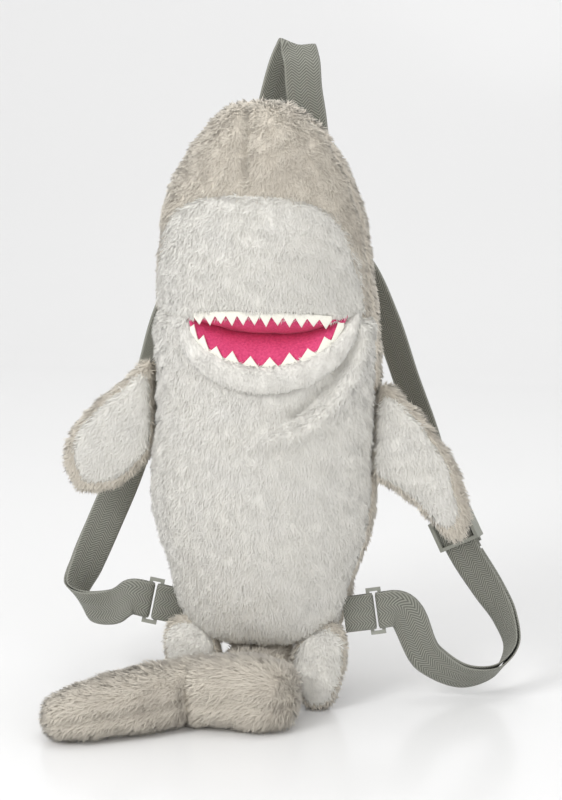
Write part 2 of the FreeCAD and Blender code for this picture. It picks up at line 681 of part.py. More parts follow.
def right_route():
    """The right strap's places: it hangs loose, down to the floor, and back to its tab."""
    return {
        "anchor": (Vec(34, BACK_PLANE + 4, PATCH_Z - 6),),
        "ring": Vec(93, -14, 76),
        "leave": Vec(1, -0.05, -0.75),
        "upper": [
            (Vec(38, BACK_PLANE + 4.6, PATCH_Z - 22), Vec(0.9, 0, 0.45)),
            (Vec(66, BACK_PLANE + 6, 356), Vec(0.9, -0.1, 0.45)),
            (Vec(92, BACK_PLANE + 1, 312), Vec(0.85, -0.4, 0.4)),
            (Vec(112, 50, 262), Vec(0.8, -0.5, 0.3)),
            (Vec(130, 44, 212), Vec(0.85, -0.35, 0.35)),
        ],
        "glide": (Vec(157, 36, 136), Vec(-0.45, 0.13, 0.88), Vec(0.86, -0.2, 0.47)),
        "lower": [
            (Vec(186, 30, 88), Vec(0.8, -0.3, 0.5)),
            (Vec(201, 27, 63), Vec(0.62, -0.6, 0.5)),
            (Vec(207, 20, 42), Vec(0.43, -0.78, 0.42)),
            (Vec(198, 8, 27), Vec(0.25, -0.78, 0.55)),
            (Vec(174, -2, 21.5), Vec(0.18, -0.58, 0.79)),
            (Vec(143, -9, 37), Vec(0.3, -0.2, 0.93)),
        ],
    }


def left_route():
    """The left strap's places: it is drawn up shorter and turns back above the floor."""
    return {
        "anchor": (Vec(-34, BACK_PLANE + 4, PATCH_Z - 6),),
        "ring": Vec(-88, -16, 74),
        "leave": Vec(-1, -0.15, -0.05),
        "upper": [
            (Vec(-38, BACK_PLANE + 4.6, PATCH_Z - 22), Vec(-0.9, 0, 0.45)),
            (Vec(-66, BACK_PLANE + 6, 356), Vec(-0.9, -0.1, 0.45)),
            (Vec(-92, BACK_PLANE + 1, 312), Vec(-0.85, -0.4, 0.4)),
        ],
        "glide": (Vec(-112, 44, 232), Vec(0.24, 0.08, 0.97), Vec(-0.95, -0.2, 0.25)),
        "lower": [
            (Vec(-131, 37, 168), Vec(-0.9, -0.05, 0.35)),
            (Vec(-147, 29, 128), Vec(-0.88, -0.1, 0.4)),
            (Vec(-161, 19, 94), Vec(-0.7, -0.4, 0.55)),
            (Vec(-168, 6, 72), Vec(-0.42, -0.6, 0.68)),
            (Vec(-155, -8, 64), Vec(-0.15, -0.35, 0.93)),
            (Vec(-130, -14, 66), Vec(0.1, 0.12, 0.98)),
        ],
    }


def make_patch():
    """The webbing patch on the back that both straps' upper ends are sewn to."""
    y0 = BACK_PLANE + 0.2
    patch = box(-PATCH_WIDTH / 2, PATCH_WIDTH / 2, y0, y0 + 2.0, PATCH_Z - PATCH_HEIGHT / 2,
                PATCH_Z + PATCH_HEIGHT / 2)
    return {"strap_anchor_patch": patch}


# ---------------------------------------------------------------- output
def build():
    forms = {"outer": body_form(0.0), "inner": body_form(FUR), "lining": body_form(FUR + LINING)}
    parts = {}
    parts.update(make_panels(forms))
    parts.update(make_filling(forms))
    parts.update(make_mouth(forms))
    parts.update(make_zip())
    parts.update(make_pectoral(-1, LEFT_PECTORAL_Z))
    parts.update(make_pectoral(1, RIGHT_PECTORAL_Z))
    for side in (-1, 1):
        parts.update(make_pelvic(side))
    parts.update(make_stem())
    parts.update(make_tail_fin())
    parts.update(make_handle())
    parts.update(make_patch())
    for name, route in (("left", left_route()), ("right", right_route())):
        parts.update(make_ring(route, name))
        parts.update(make_tab(route, name))
        parts.update(make_strap(route, name))
    return parts


def to_the_floor_middle(parts):
    """Moves every piece by one step, so that the origin is under the middle of them all."""
    whole = FreeCAD.BoundBox()
    for shape in parts.values():
        whole.add(shape.BoundBox)
    step = Vec(-round(whole.Center.x, 1), -round(whole.Center.y, 1), 0)
    print(f"moved by {step.x:.1f} {step.y:.1f} {step.z:.1f}")
    return {name: shape.translated(step) for name, shape in parts.items()}


def main():
    os.makedirs("parts", exist_ok=True)
    for name, shape in to_the_floor_middle(build()).items():
        solids = shape.Solids
        whole = solids[0] if len(solids) == 1 else Part.makeCompound(solids)
        whole.exportStep(f"parts/{name}.step")
        print(f"{name}: {len(solids)} solid, {shape.Volume / 1000:.1f} cm3, valid {shape.isValid()}")


main()
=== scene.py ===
"""The looks of a plush shark backpack: fur, felt, fleece, webbing and its soft studio.

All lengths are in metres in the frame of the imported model: +Z up, the belly faces -Y. Every
new surface is a grid of points worked out with numpy as a function of two parameters.
"""

import logging
import math
from dataclasses import dataclass, field
from enum import Enum
from typing import Callable, Sequence

import bpy
import numpy as np
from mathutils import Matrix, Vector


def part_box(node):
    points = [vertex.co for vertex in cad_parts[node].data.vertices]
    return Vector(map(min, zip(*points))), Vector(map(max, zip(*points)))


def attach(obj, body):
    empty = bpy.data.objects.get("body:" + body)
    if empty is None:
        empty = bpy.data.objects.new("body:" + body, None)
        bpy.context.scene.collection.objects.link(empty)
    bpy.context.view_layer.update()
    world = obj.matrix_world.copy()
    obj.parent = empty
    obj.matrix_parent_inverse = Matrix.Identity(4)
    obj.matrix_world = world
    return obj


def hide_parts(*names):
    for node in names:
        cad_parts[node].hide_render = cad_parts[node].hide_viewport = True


LOG = logging.getLogger("shark")
Array = np.ndarray
MM = 0.001
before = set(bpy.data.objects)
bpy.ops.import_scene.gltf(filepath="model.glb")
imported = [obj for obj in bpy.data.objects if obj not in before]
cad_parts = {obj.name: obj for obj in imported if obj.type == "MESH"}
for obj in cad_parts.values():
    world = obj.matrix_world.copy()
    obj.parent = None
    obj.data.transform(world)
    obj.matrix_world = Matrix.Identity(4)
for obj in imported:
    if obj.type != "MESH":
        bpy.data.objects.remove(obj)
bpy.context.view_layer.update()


def drawing_offset() -> np.ndarray:
    """Where the body's middle line stands in the frame, in metres, read from the back panel's box."""
    low, high = (np.array(corner, float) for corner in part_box("back_panel"))
    return np.array([(low[0] + high[0]) / 2, (low[1] + high[1]) / 2 - 0.022, 0.0])


OFFSET = drawing_offset()


# ---------------------------------------------------------------- numbers along curves
def smooth_rows(rows: Sequence[Sequence[float]], at: Array) -> Array:
    """Reads a given table along a Catmull-Rom curve.

    Between two rows the value is the cubic through both whose slope at a row is half the
    difference of its two neighbours.

    Args:
        rows: control rows, all of one length.
        at: places from 0 to 1 along the table.

    Returns:
        An array of at's shape with one more axis, the row's values.
    """
    table = np.asarray(rows, float)
    table = np.vstack([2 * table[0] - table[1], table, 2 * table[-1] - table[-2]])
    place = np.clip(at, 0, 1) * (len(rows) - 1)
    k = np.minimum(place.astype(int), len(rows) - 2)
    t = (place - k)[..., None]
    a, b, c, d = (table[k + i] for i in range(4))
    return b + 0.5 * t * ((c - a) + t * ((2 * a - 5 * b + 4 * c - d) + t * (3 * b - a - 3 * c + d)))


def smooth_ring(rows: Sequence[Sequence[float]], at: Array) -> Array:
    """The same curve through a closed ring of rows; at 1 it is back at the first row."""
    table = np.asarray(rows, float)
    count = len(table)
    place = np.mod(at, 1.0) * count
    k = place.astype(int) % count
    t = (place - np.floor(place))[..., None]
    a, b, c, d = (table[(k + i) % count] for i in (-1, 0, 1, 2))
    return b + 0.5 * t * ((c - a) + t * ((2 * a - 5 * b + 4 * c - d) + t * (3 * b - a - 3 * c + d)))


def smooth_path(rows: Sequence[Sequence[float]], samples: int) -> Array:
    """A curve through unevenly spaced rows, whose first three values are a place.

    The curve's parameter is the length along the straight legs. The slope at each row is the
    mean of its two legs' slopes, each weighted by the other leg's length, and between rows runs
    the cubic that has those slopes.

    Args:
        rows: the control rows.
        samples: how many places to return, evenly along the legs.

    Returns:
        An array of samples rows.
    """
    table = np.asarray(rows, float)
    leg = np.maximum(np.linalg.norm(np.diff(table[:, :3], axis=0), axis=-1), 1e-6)
    run = np.concatenate([[0], np.cumsum(leg)])
    slope = np.diff(table, axis=0) / leg[:, None]
    inner = (slope[:-1] * leg[1:, None] + slope[1:] * leg[:-1, None]) / (leg[:-1] + leg[1:])[:, None]
    ways = np.vstack([slope[:1], inner, slope[-1:]])
    at = np.linspace(0, run[-1], samples)
    k = np.clip(np.searchsorted(run, at, side="right") - 1, 0, len(leg) - 1)
    t = ((at - run[k]) / leg[k])[:, None]
    h = leg[k][:, None]
    return ((2 * t ** 3 - 3 * t ** 2 + 1) * table[k] + (t ** 3 - 2 * t ** 2 + t) * h * ways[k]
            + (3 * t ** 2 - 2 * t ** 3) * table[k + 1] + (t ** 3 - t ** 2) * h * ways[k + 1])


def ripple(points: Array, wavelength: float, seed: int) -> Array:
    """Smooth noise from -1 to 1: seven plane sine waves of random direction and phase, averaged."""
    rng = np.random.default_rng(seed)
    total = np.zeros(points.shape[:-1])
    for _ in range(7):
        way = rng.normal(size=3)
        way *= 2 * math.pi / wavelength / np.linalg.norm(way) * rng.uniform(0.7, 1.5)
        total += np.sin(points @ way + rng.uniform(0, 2 * math.pi))
    return total / 4.0


def unit(vectors: Array) -> Array:
    """Vectors of length 1 along the last axis."""
    return vectors / np.maximum(np.linalg.norm(vectors, axis=-1, keepdims=True), 1e-12)


def near_curve(points: Array, curve: Array) -> Array:
    """Each point's distance to the nearest of a curve's samples, both in the front view."""
    gap = points[..., None, [0, 2]] - curve[:, [0, 1]]
    return np.sqrt((gap ** 2).sum(-1)).min(-1)


# ---------------------------------------------------------------- surfaces and meshes
@dataclass
class Skin:
    """A grid surface: points of shape (u, v, 3), perhaps closed round u."""

    points: Array
    closed: bool = False
    flow: Array | None = None
    plush: Array | None = None  # share of the pile's full length, per point

    def normals(self) -> Array:
        """Unit normals from the cross product of the two grid directions' slopes."""
        p = self.points
        if self.closed:
            du = np.roll(p, -1, 0) - np.roll(p, 1, 0)
        else:
            du = np.gradient(p, axis=0)
        dv = np.gradient(p, axis=1)
        return unit(np.cross(du, dv))

    def faces(self) -> Array:
        """Quads between neighbouring grid points, the last column joined to the first if closed."""
        nu, nv = self.points.shape[:2]
        u = np.arange(nu if self.closed else nu - 1)[:, None]
        v = np.arange(nv - 1)[None, :]
        after = (u + 1) % nu
        return np.stack([u * nv + v, after * nv + v, after * nv + v + 1, u * nv + v + 1], -1).reshape(-1, 4)

    def outward(self) -> "Skin":
        """The skin with its points in the order that makes its normals leave its own middle line."""
        middle = self.points.mean(0, keepdims=True)
        if ((self.points - middle) * self.normals()).sum(-1).mean() >= 0:
            return self
        turn = lambda a: a[::-1] if a is not None else None
        return Skin(self.points[::-1], self.closed, turn(self.flow), turn(self.plush))

    def chart(self) -> Array:
        """The grid's own map, from 0 to 1 each way, a little inside the edges."""
        nu, nv = self.points.shape[:2]
        u, v = np.meshgrid(np.linspace(0.01, 0.99, nu), np.linspace(0.01, 0.99, nv), indexing="ij")
        return np.stack([u, v], -1)


def make_mesh(name: str, points: Array, polygons: list[Array], chart: Array | None = None,
              pile: Array | None = None, normals: Array | None = None) -> bpy.types.Object:
    """Puts arrays into a new mesh object at the origin.

    Args:
        name: the piece's name.
        points: (n, 3) places.
        polygons: arrays of corner numbers, one array per polygon size.
        chart: (n, 2) map coordinates, or None.
        pile: (n,) values from 0 at the roots to 1 at the tips, which the fur material turns into painted
            shade at the roots, or None.
        normals: (n, 3) directions that light the points, or None for the mesh's own.

    Returns:
        The linked object, shaded smooth.
    """
    mesh = bpy.data.meshes.new(name)
    corners = np.concatenate([p.reshape(-1) for p in polygons]).astype(np.int32)
    sizes = np.concatenate([np.full(len(p), p.shape[1]) for p in polygons])
    mesh.vertices.add(len(points))
    mesh.vertices.foreach_set("co", np.ascontiguousarray(points + OFFSET, np.float32).reshape(-1))
    mesh.loops.add(len(corners))
    mesh.loops.foreach_set("vertex_index", corners)
    mesh.polygons.add(len(sizes))
    mesh.polygons.foreach_set("loop_start", np.concatenate([[0], np.cumsum(sizes)[:-1]]).astype(np.int32))
    mesh.polygons.foreach_set("use_smooth", np.ones(len(sizes), bool))
    mesh.update(calc_edges=True)
    if chart is not None:
        layer = mesh.uv_layers.new(name="OFBake")
        layer.data.foreach_set("uv", chart[corners].astype(np.float32).reshape(-1))
    if pile is not None:
        # Root-to-tip values: the fur material uses them to darken the roots as painted shade.
        tone = mesh.attributes.new("pile", "FLOAT", "POINT")
        tone.data.foreach_set("value", pile.astype(np.float32))
    mesh.validate()
    if normals is not None:
        mesh.normals_split_custom_set_from_vertices(normals.tolist())
    piece = bpy.data.objects.new(name, mesh)
    bpy.context.collection.objects.link(piece)
    return piece


@dataclass(frozen=True)
class Pile:
    """How a fur's tufts stand: sizes in metres; lean is 0 flat and 1 upright."""

    length: float = 5.6 * MM
    spacing: float = 1.2 * MM
    width: float = 0.85 * MM
    lean: float = 0.55
    unrest: float = 0.42
    clump: float = 0.34
    clump_size: float = 16 * MM
    glint: float = 0.10


def tufts(skin: Skin, pile: Pile, seed: int) -> tuple[Array, Array, Array, Array, Array]:
    """Grows slim three-sided tufts evenly over a skin.

    Each cell gets tufts in proportion to its area. A tuft's root is a triangle set a little
    into the cloth; its tip lies along the flow, raised by the lean, and turned by smooth noise
    that makes neighbouring tufts part and gather.

    Args:
        skin: the cloth, whose flow gives the way the pile lies.
        pile: the pile's sizes.
        seed: for the random places.

    Returns:
        Points, triangles, map coordinates, root-to-tip values that set the painted shade at the roots, and
        the
        directions that light them: the cloth's own normal, tipped a little at random, as a soft pile catches
            light.
    """
    rng = np.random.default_rng(seed)
    p, n, chart = skin.points, skin.normals(), skin.chart()
    if skin.closed:
        wrap = lambda a: np.concatenate([a, a[:1]], 0)
        p, n, chart = wrap(p), wrap(n), wrap(chart)
        chart[-1] = chart[-2]
    flow = skin.flow if skin.flow is not None else np.broadcast_to([0.0, 0.0, -1.0], skin.points.shape)
    plush = skin.plush if skin.plush is not None else np.ones(skin.points.shape[:2])
    if skin.closed:
        flow, plush = wrap(flow), wrap(plush)
    diagonals = np.cross(p[1:, 1:] - p[:-1, :-1], p[:-1, 1:] - p[1:, :-1])
    area = np.linalg.norm(diagonals, axis=-1) / 2
    total = np.cumsum(area.reshape(-1))
    count = int(total[-1] / pile.spacing ** 2)
    cell = np.searchsorted(total, (np.arange(count) + rng.random(count)) / count * total[-1])
    cell = np.minimum(cell, area.size - 1)
    i, j = np.divmod(cell, area.shape[1])
    f, g = rng.random((2, count))

    def read(values: Array) -> Array:
        """The values at each tuft, straight-line between the four corners of its cell."""
        ff, gg = (f, g) if values.ndim == 2 else (f[:, None], g[:, None])
        low = values[i, j] * (1 - gg) + values[i, j + 1] * gg
        high = values[i + 1, j] * (1 - gg) + values[i + 1, j + 1] * gg
        return low * (1 - ff) + high * ff

    root, up, way, spot, full = read(p), unit(read(n)), read(flow), read(chart), read(plush)
    sway = np.stack([ripple(root, pile.clump_size, seed + k) for k in range(3)], -1) * pile.clump
    finer = [ripple(root, pile.clump_size * 0.33, seed + 5 + k) for k in range(3)]
    sway += np.stack(finer, -1) * pile.clump * 0.7
    way = unit(way + sway + rng.normal(size=(count, 3)) * pile.unrest)
    along = unit(way - up * (way * up).sum(-1, keepdims=True))
    lean = pile.lean * (1 + 0.5 * ripple(root, pile.clump_size * 0.8, seed + 9))[:, None]
    grow = unit(along + up * lean)
    length = pile.length * full * rng.uniform(0.7, 1.2, count) * (1 + 0.22 * ripple(root, 0.02, seed + 3))
    side = np.cross(along, up)  # turns from side to along run anticlockwise seen from outside
    turn = rng.uniform(0, 2 * math.pi, count)
    corners = []
    for k in range(3):
        angle = (turn + 2 * math.pi * k / 3)[:, None]
        corners.append(root + (side * np.cos(angle) + along * np.sin(angle)) * pile.width - up * 0.7 * MM)
    tip = root + grow * length[:, None]
    points = np.stack(corners + [tip], 1).reshape(-1, 3)
    base = np.arange(count)[:, None] * 4
    shape = np.array([[0, 1, 3], [1, 2, 3], [2, 0, 3], [2, 1, 0]])
    triangles = (base[:, :, None] + shape[None]).reshape(-1, 3)
    offsets = np.array([[0.003, 0.0], [-0.002, 0.002], [-0.002, -0.002], [0.0, -0.007]])
    places = np.clip(spot[:, None] + offsets[None], 0.001, 0.999).reshape(-1, 2)
    # Roots at 0.12 and tips at 1: the fur material paints the roots darker, as painted shade deep in the
    # pile.
    tone = np.tile([0.12, 0.12, 0.12, 1.0], count)
    lit = unit(up + rng.normal(size=(count, 3)) * pile.glint + grow * pile.glint)
    return points, triangles, places, tone, np.repeat(lit, 4, 0)


def fur_piece(name: str, skin: Skin, pile: Pile, seed: int) -> bpy.types.Object:
    """A cloth skin with its tufts, as one piece."""
    points, chart = skin.points.reshape(-1, 3), skin.chart().reshape(-1, 2)
    # The cloth under the tufts gets 0.35: painted shade between the roots' colour and the tips' colour.
    polygons, tone, lit = [skin.faces()], np.full(len(points), 0.35), skin.normals().reshape(-1, 3)
    hairs, triangles, places, tips, glow = tufts(skin, pile, seed)
    polygons.append(triangles + len(points))
    points, chart = np.vstack([points, hairs]), np.vstack([chart, places])
    tone, lit = np.concatenate([tone, tips]), np.vstack([lit, glow])
    return make_mesh(name, points, polygons, chart, tone, lit)


# ---------------------------------------------------------------- materials
NUMBER_INPUTS = ("Patch Scale", "Patch Share", "Pitch", "Columns", "Scale", "Depth")


def socket(group: bpy.types.NodeTree, name: str, kind: str, default: object = None,
           out: bool = False) -> None:
    """Adds one named input or output to a node group."""
    made = group.interface.new_socket(name, in_out="OUTPUT" if out else "INPUT", socket_type=kind)
    if default is not None:
        made.default_value = default


class Nodes:
    """A short way to place and link nodes in one tree."""

    def __init__(self, tree: bpy.types.NodeTree) -> None:
        self.tree = tree

    def add(self, kind: str, links: dict | None = None, **settings: object) -> bpy.types.Node:
        """Makes a node, sets its properties, then fills or links its inputs by name or number."""
        node = self.tree.nodes.new(kind)
        for key, value in settings.items():
            setattr(node, key, value)
        for key, value in (links or {}).items():
            entry = node.inputs[key]
            if isinstance(value, bpy.types.NodeSocket):
                self.tree.links.new(value, entry)
            else:
                entry.default_value = value
        return node

    def maths(self, operation: str, *values: object) -> bpy.types.NodeSocket:
        """One math node's result."""
        return self.add("ShaderNodeMath", dict(enumerate(values)), operation=operation).outputs[0]


def open_group(title: str, inputs: dict[str, float]) -> tuple[
        bpy.types.NodeTree, Nodes, bpy.types.bpy_prop_collection]:
    """Starts a group whose inputs are greys and numbers and whose outputs are a colour and a normal.

    Args:
        title: the group's name.
        inputs: each input's default: a number for NUMBER_INPUTS, else the level of a grey.

    Returns:
        The group, its node maker and the inputs as sockets.
    """
    group = bpy.data.node_groups.new(title, "ShaderNodeTree")
    for name, value in inputs.items():
        if name in NUMBER_INPUTS:
            socket(group, name, "NodeSocketFloat", value)
        else:
            socket(group, name, "NodeSocketColor", (value, value, value, 1))
    socket(group, "Colour", "NodeSocketColor", out=True)
    socket(group, "Normal", "NodeSocketVector", out=True)
    n = Nodes(group)
    return group, n, n.add("NodeGroupInput").outputs


def pile_group() -> bpy.types.NodeTree:
    """Fur colour: darker at the roots as painted shade deep in the pile, mottled in soft patches, with fine
    streaks as a normal.
    """
    group, n, given = open_group("fur pile", {"Shaded Root": 0.5, "Tip": 0.8, "Shade": 0.4, "Patch Scale": 45.0,
                                              "Patch Share": 0.3})
    place = n.add("ShaderNodeTexCoord").outputs["Object"]
    pile = n.add("ShaderNodeAttribute", attribute_name="pile").outputs["Fac"]
    # Painted shade deep in the pile: the roots' colour at pile 0, the tips' colour at 1.
    tone = n.add("ShaderNodeMix", {0: pile, "A": given["Shaded Root"], "B": given["Tip"]}, data_type="RGBA")
    patch = n.add("ShaderNodeTexNoise", {"Vector": place, "Scale": given["Patch Scale"], "Detail": 4.0})
    share = n.add("ShaderNodeMapRange", {"Value": patch.outputs["Fac"], "From Min": 0.42, "From Max": 0.72})
    share = n.maths("MULTIPLY", share.outputs[0], given["Patch Share"])
    mixed = n.add("ShaderNodeMix", {0: share, "A": tone_out(tone), "B": given["Shade"]}, data_type="RGBA")
    fine = n.add("ShaderNodeTexNoise", {"Vector": place, "Scale": 900.0, "Detail": 3.0})
    bump = n.add("ShaderNodeBump", {"Height": fine.outputs["Fac"], "Strength": 0.35, "Distance": 0.0006})
    n.add("NodeGroupOutput", {"Colour": tone_out(mixed), "Normal": bump.outputs[0]})
    return group


def tone_out(mix: bpy.types.Node) -> bpy.types.NodeSocket:
    """The result of a Mix node that mixes colours."""
    return mix.outputs[2]


def weave_group() -> bpy.types.NodeTree:
    """Herringbone webbing from its own map: ribs that slant one way, then the other, per column, with painted
    shade in the grooves between them.
    """
    group, n, given = open_group("herringbone weave", {"Yarn": 0.2, "Groove Shade": 0.05, "Edge": 0.3, "Pitch": 420.0,
                                                       "Columns": 5.0})
    weave = n.add("ShaderNodeAttribute", attribute_name="weave")
    parts = n.add("ShaderNodeSeparateXYZ", {0: weave.outputs["Vector"]}).outputs
    column = n.maths("MULTIPLY", parts["Y"], given["Columns"])
    zigzag = n.maths("PINGPONG", column, 1.0)
    along = n.maths("MULTIPLY", parts["X"], given["Pitch"])
    slant = n.maths("ADD", along, n.maths("MULTIPLY", zigzag, 2.2))
    rib = n.maths("SINE", n.maths("MULTIPLY", slant, 2 * math.pi))
    level = n.add("ShaderNodeMapRange", {"Value": rib, "From Min": -1.0, "From Max": 0.7})
    # Painted shade: the grooves between the ribs take the darker colour, and the ribs' crowns take the yarn's
    # colour.
    tone = n.add("ShaderNodeMix", {0: level.outputs[0], "A": given["Groove Shade"], "B": given["Yarn"]},
                 data_type="RGBA")
    middle = n.maths("ABSOLUTE", n.maths("SUBTRACT", parts["Y"], 0.5))
    rim = n.add("ShaderNodeMapRange", {"Value": middle, "From Min": 0.44, "From Max": 0.47})
    colour = n.add("ShaderNodeMix", {0: rim.outputs[0], "A": tone_out(tone), "B": given["Edge"]},
                   data_type="RGBA")
    bump = n.add("ShaderNodeBump", {"Height": level.outputs[0], "Strength": 0.8, "Distance": 0.0005})
    n.add("NodeGroupOutput", {"Colour": tone_out(colour), "Normal": bump.outputs[0]})
    return group


def grain_group() -> bpy.types.NodeTree:
    """Fine grain for fleece, felt and moulded plastic: two noises give a colour change and a normal."""
    group, n, given = open_group("fine grain", {"Light": 0.5, "Dark": 0.3, "Scale": 400.0, "Depth": 0.0004})
    place = n.add("ShaderNodeTexCoord").outputs["Object"]
    fine = n.add("ShaderNodeTexNoise", {"Vector": place, "Scale": given["Scale"], "Detail": 6.0})
    broad = n.add("ShaderNodeTexNoise", {"Vector": place, "Scale": 60.0, "Detail": 3.0})
    both = n.maths("ADD", n.maths("MULTIPLY", fine.outputs["Fac"], 0.65),
                   n.maths("MULTIPLY", broad.outputs["Fac"], 0.35))
    level = n.add("ShaderNodeMapRange", {"Value": both, "From Min": 0.35, "From Max": 0.62})
    colour = n.add("ShaderNodeMix", {0: level.outputs[0], "A": given["Dark"], "B": given["Light"]},
                   data_type="RGBA")
    bump = n.add("ShaderNodeBump", {"Height": fine.outputs["Fac"], "Strength": 0.7,
                                    "Distance": given["Depth"]})
    n.add("NodeGroupOutput", {"Colour": tone_out(colour), "Normal": bump.outputs[0]})
    return group


class Effect(Enum):
    """The shared shader groups."""

    PILE = "pile"
    WEAVE = "weave"
    GRAIN = "grain"


@dataclass(frozen=True)
class Finish:
    """One material: a shared effect with its own values, and its shader's plain constants."""

    name: str
    effect: Effect
    values: dict = field(default_factory=dict)
    roughness: float = 0.9
    sheen: float = 0.0
    sheen_tint: tuple = (1.0, 1.0, 1.0, 1.0)
    metallic: float = 0.0

    def build(self, groups: dict[Effect, bpy.types.NodeTree]) -> bpy.types.Material:
        """Makes the material: the effect feeds the colour and normal of one Principled shader."""
        material = bpy.data.materials.new(self.name)
        material.use_nodes = True
        material.node_tree.nodes.clear()
        n = Nodes(material.node_tree)
        effect = n.add("ShaderNodeGroup", node_tree=groups[self.effect])
        for key, value in self.values.items():
            effect.inputs[key].default_value = value
        shader = n.add("ShaderNodeBsdfPrincipled", {
            "Base Color": effect.outputs["Colour"], "Normal": effect.outputs["Normal"],
            "Roughness": self.roughness, "Metallic": self.metallic, "Sheen Weight": self.sheen,
            "Sheen Roughness": 0.5, "Sheen Tint": self.sheen_tint})
        n.add("ShaderNodeOutputMaterial", {"Surface": shader.outputs[0]})
        return material


FINISHES = (
    # Each fur's root colour is painted shade deep in the pile, darker than its tip colour.
    Finish("grey fur", Effect.PILE, {"Shaded Root": (0.64, 0.575, 0.48, 1), "Tip": (0.87, 0.81, 0.70, 1),
                                     "Shade": (0.60, 0.54, 0.46, 1),
                                      "Patch Scale": 38.0, "Patch Share": 0.5},
           sheen=0.25),
    Finish("white fur", Effect.PILE, {"Shaded Root": (0.93, 0.905, 0.83, 1), "Tip": (0.985, 0.965, 0.90, 1),
                                      "Shade": (0.93, 0.915, 0.875, 1),
                                      "Patch Scale": 30.0, "Patch Share": 0.35},
           sheen=0.25),
    Finish("lip fur", Effect.PILE, {"Shaded Root": (0.92, 0.895, 0.83, 1), "Tip": (0.975, 0.955, 0.895, 1),
                                    "Shade": (0.94, 0.925, 0.89, 1),
                                      "Patch Scale": 50.0, "Patch Share": 0.25},
           sheen=0.25),
    Finish("pink fleece", Effect.GRAIN, {"Light": (0.80, 0.085, 0.235, 1), "Dark": (0.60, 0.04, 0.15, 1),
                                         "Scale": 520.0, "Depth": 0.0007},
           sheen=0.3, sheen_tint=(1, 0.45, 0.6, 1)),
    Finish("cream felt", Effect.GRAIN, {"Light": (0.96, 0.945, 0.86, 1), "Dark": (0.90, 0.88, 0.77, 1),
                                        "Scale": 900.0, "Depth": 0.0003}, sheen=0.15),
    # The webbing's darker groove colour is painted shade between the weave's ribs.
    Finish("grey webbing", Effect.WEAVE, {"Yarn": (0.315, 0.318, 0.272, 1), "Groove Shade": (0.125, 0.127, 0.108, 1),
                                          "Edge": (0.35, 0.352, 0.305, 1)}, roughness=0.75, sheen=0.1),
    Finish("grey plastic", Effect.GRAIN, {"Light": (0.35, 0.355, 0.31, 1), "Dark": (0.29, 0.295, 0.255, 1),
                                          "Scale": 1500.0, "Depth": 0.0001}, roughness=0.38),
    Finish("zip tape", Effect.GRAIN, {"Light": (0.36, 0.33, 0.28, 1), "Dark": (0.22, 0.2, 0.17, 1),
                                      "Scale": 1400.0, "Depth": 0.0004}, roughness=0.8),
    Finish("zip metal", Effect.GRAIN, {"Light": (0.62, 0.62, 0.6, 1), "Dark": (0.5, 0.5, 0.48, 1),
                                       "Scale": 2000.0, "Depth": 0.00005}, roughness=0.32, metallic=1.0),
)


class Wardrobe:
    """Every finish, built once."""

    def __init__(self) -> None:
        groups = {Effect.PILE: pile_group(), Effect.WEAVE: weave_group(), Effect.GRAIN: grain_group()}
        self.made = {finish.name: finish.build(groups) for finish in FINISHES}

    def dress(self, piece: bpy.types.Object, name: str) -> None:
        """Gives a piece one finish and nothing else."""
        piece.data.materials.clear()
        piece.data.materials.append(self.made[name])

    def dress_node(self, node: str, name: str) -> None:
        """Puts a finish on a CAD node that stays in view."""
        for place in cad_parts[node].material_slots:
            place.material = self.made[name]


def settle(piece: bpy.types.Object, body: str, slot: str, *nodes: str) -> None:
    """Ties a finished piece to its body and hides the CAD nodes it stands for."""
    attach(piece, body)
    if nodes:
        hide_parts(*nodes)
    LOG.info("%s: %d faces", piece.name, len(piece.data.polygons))


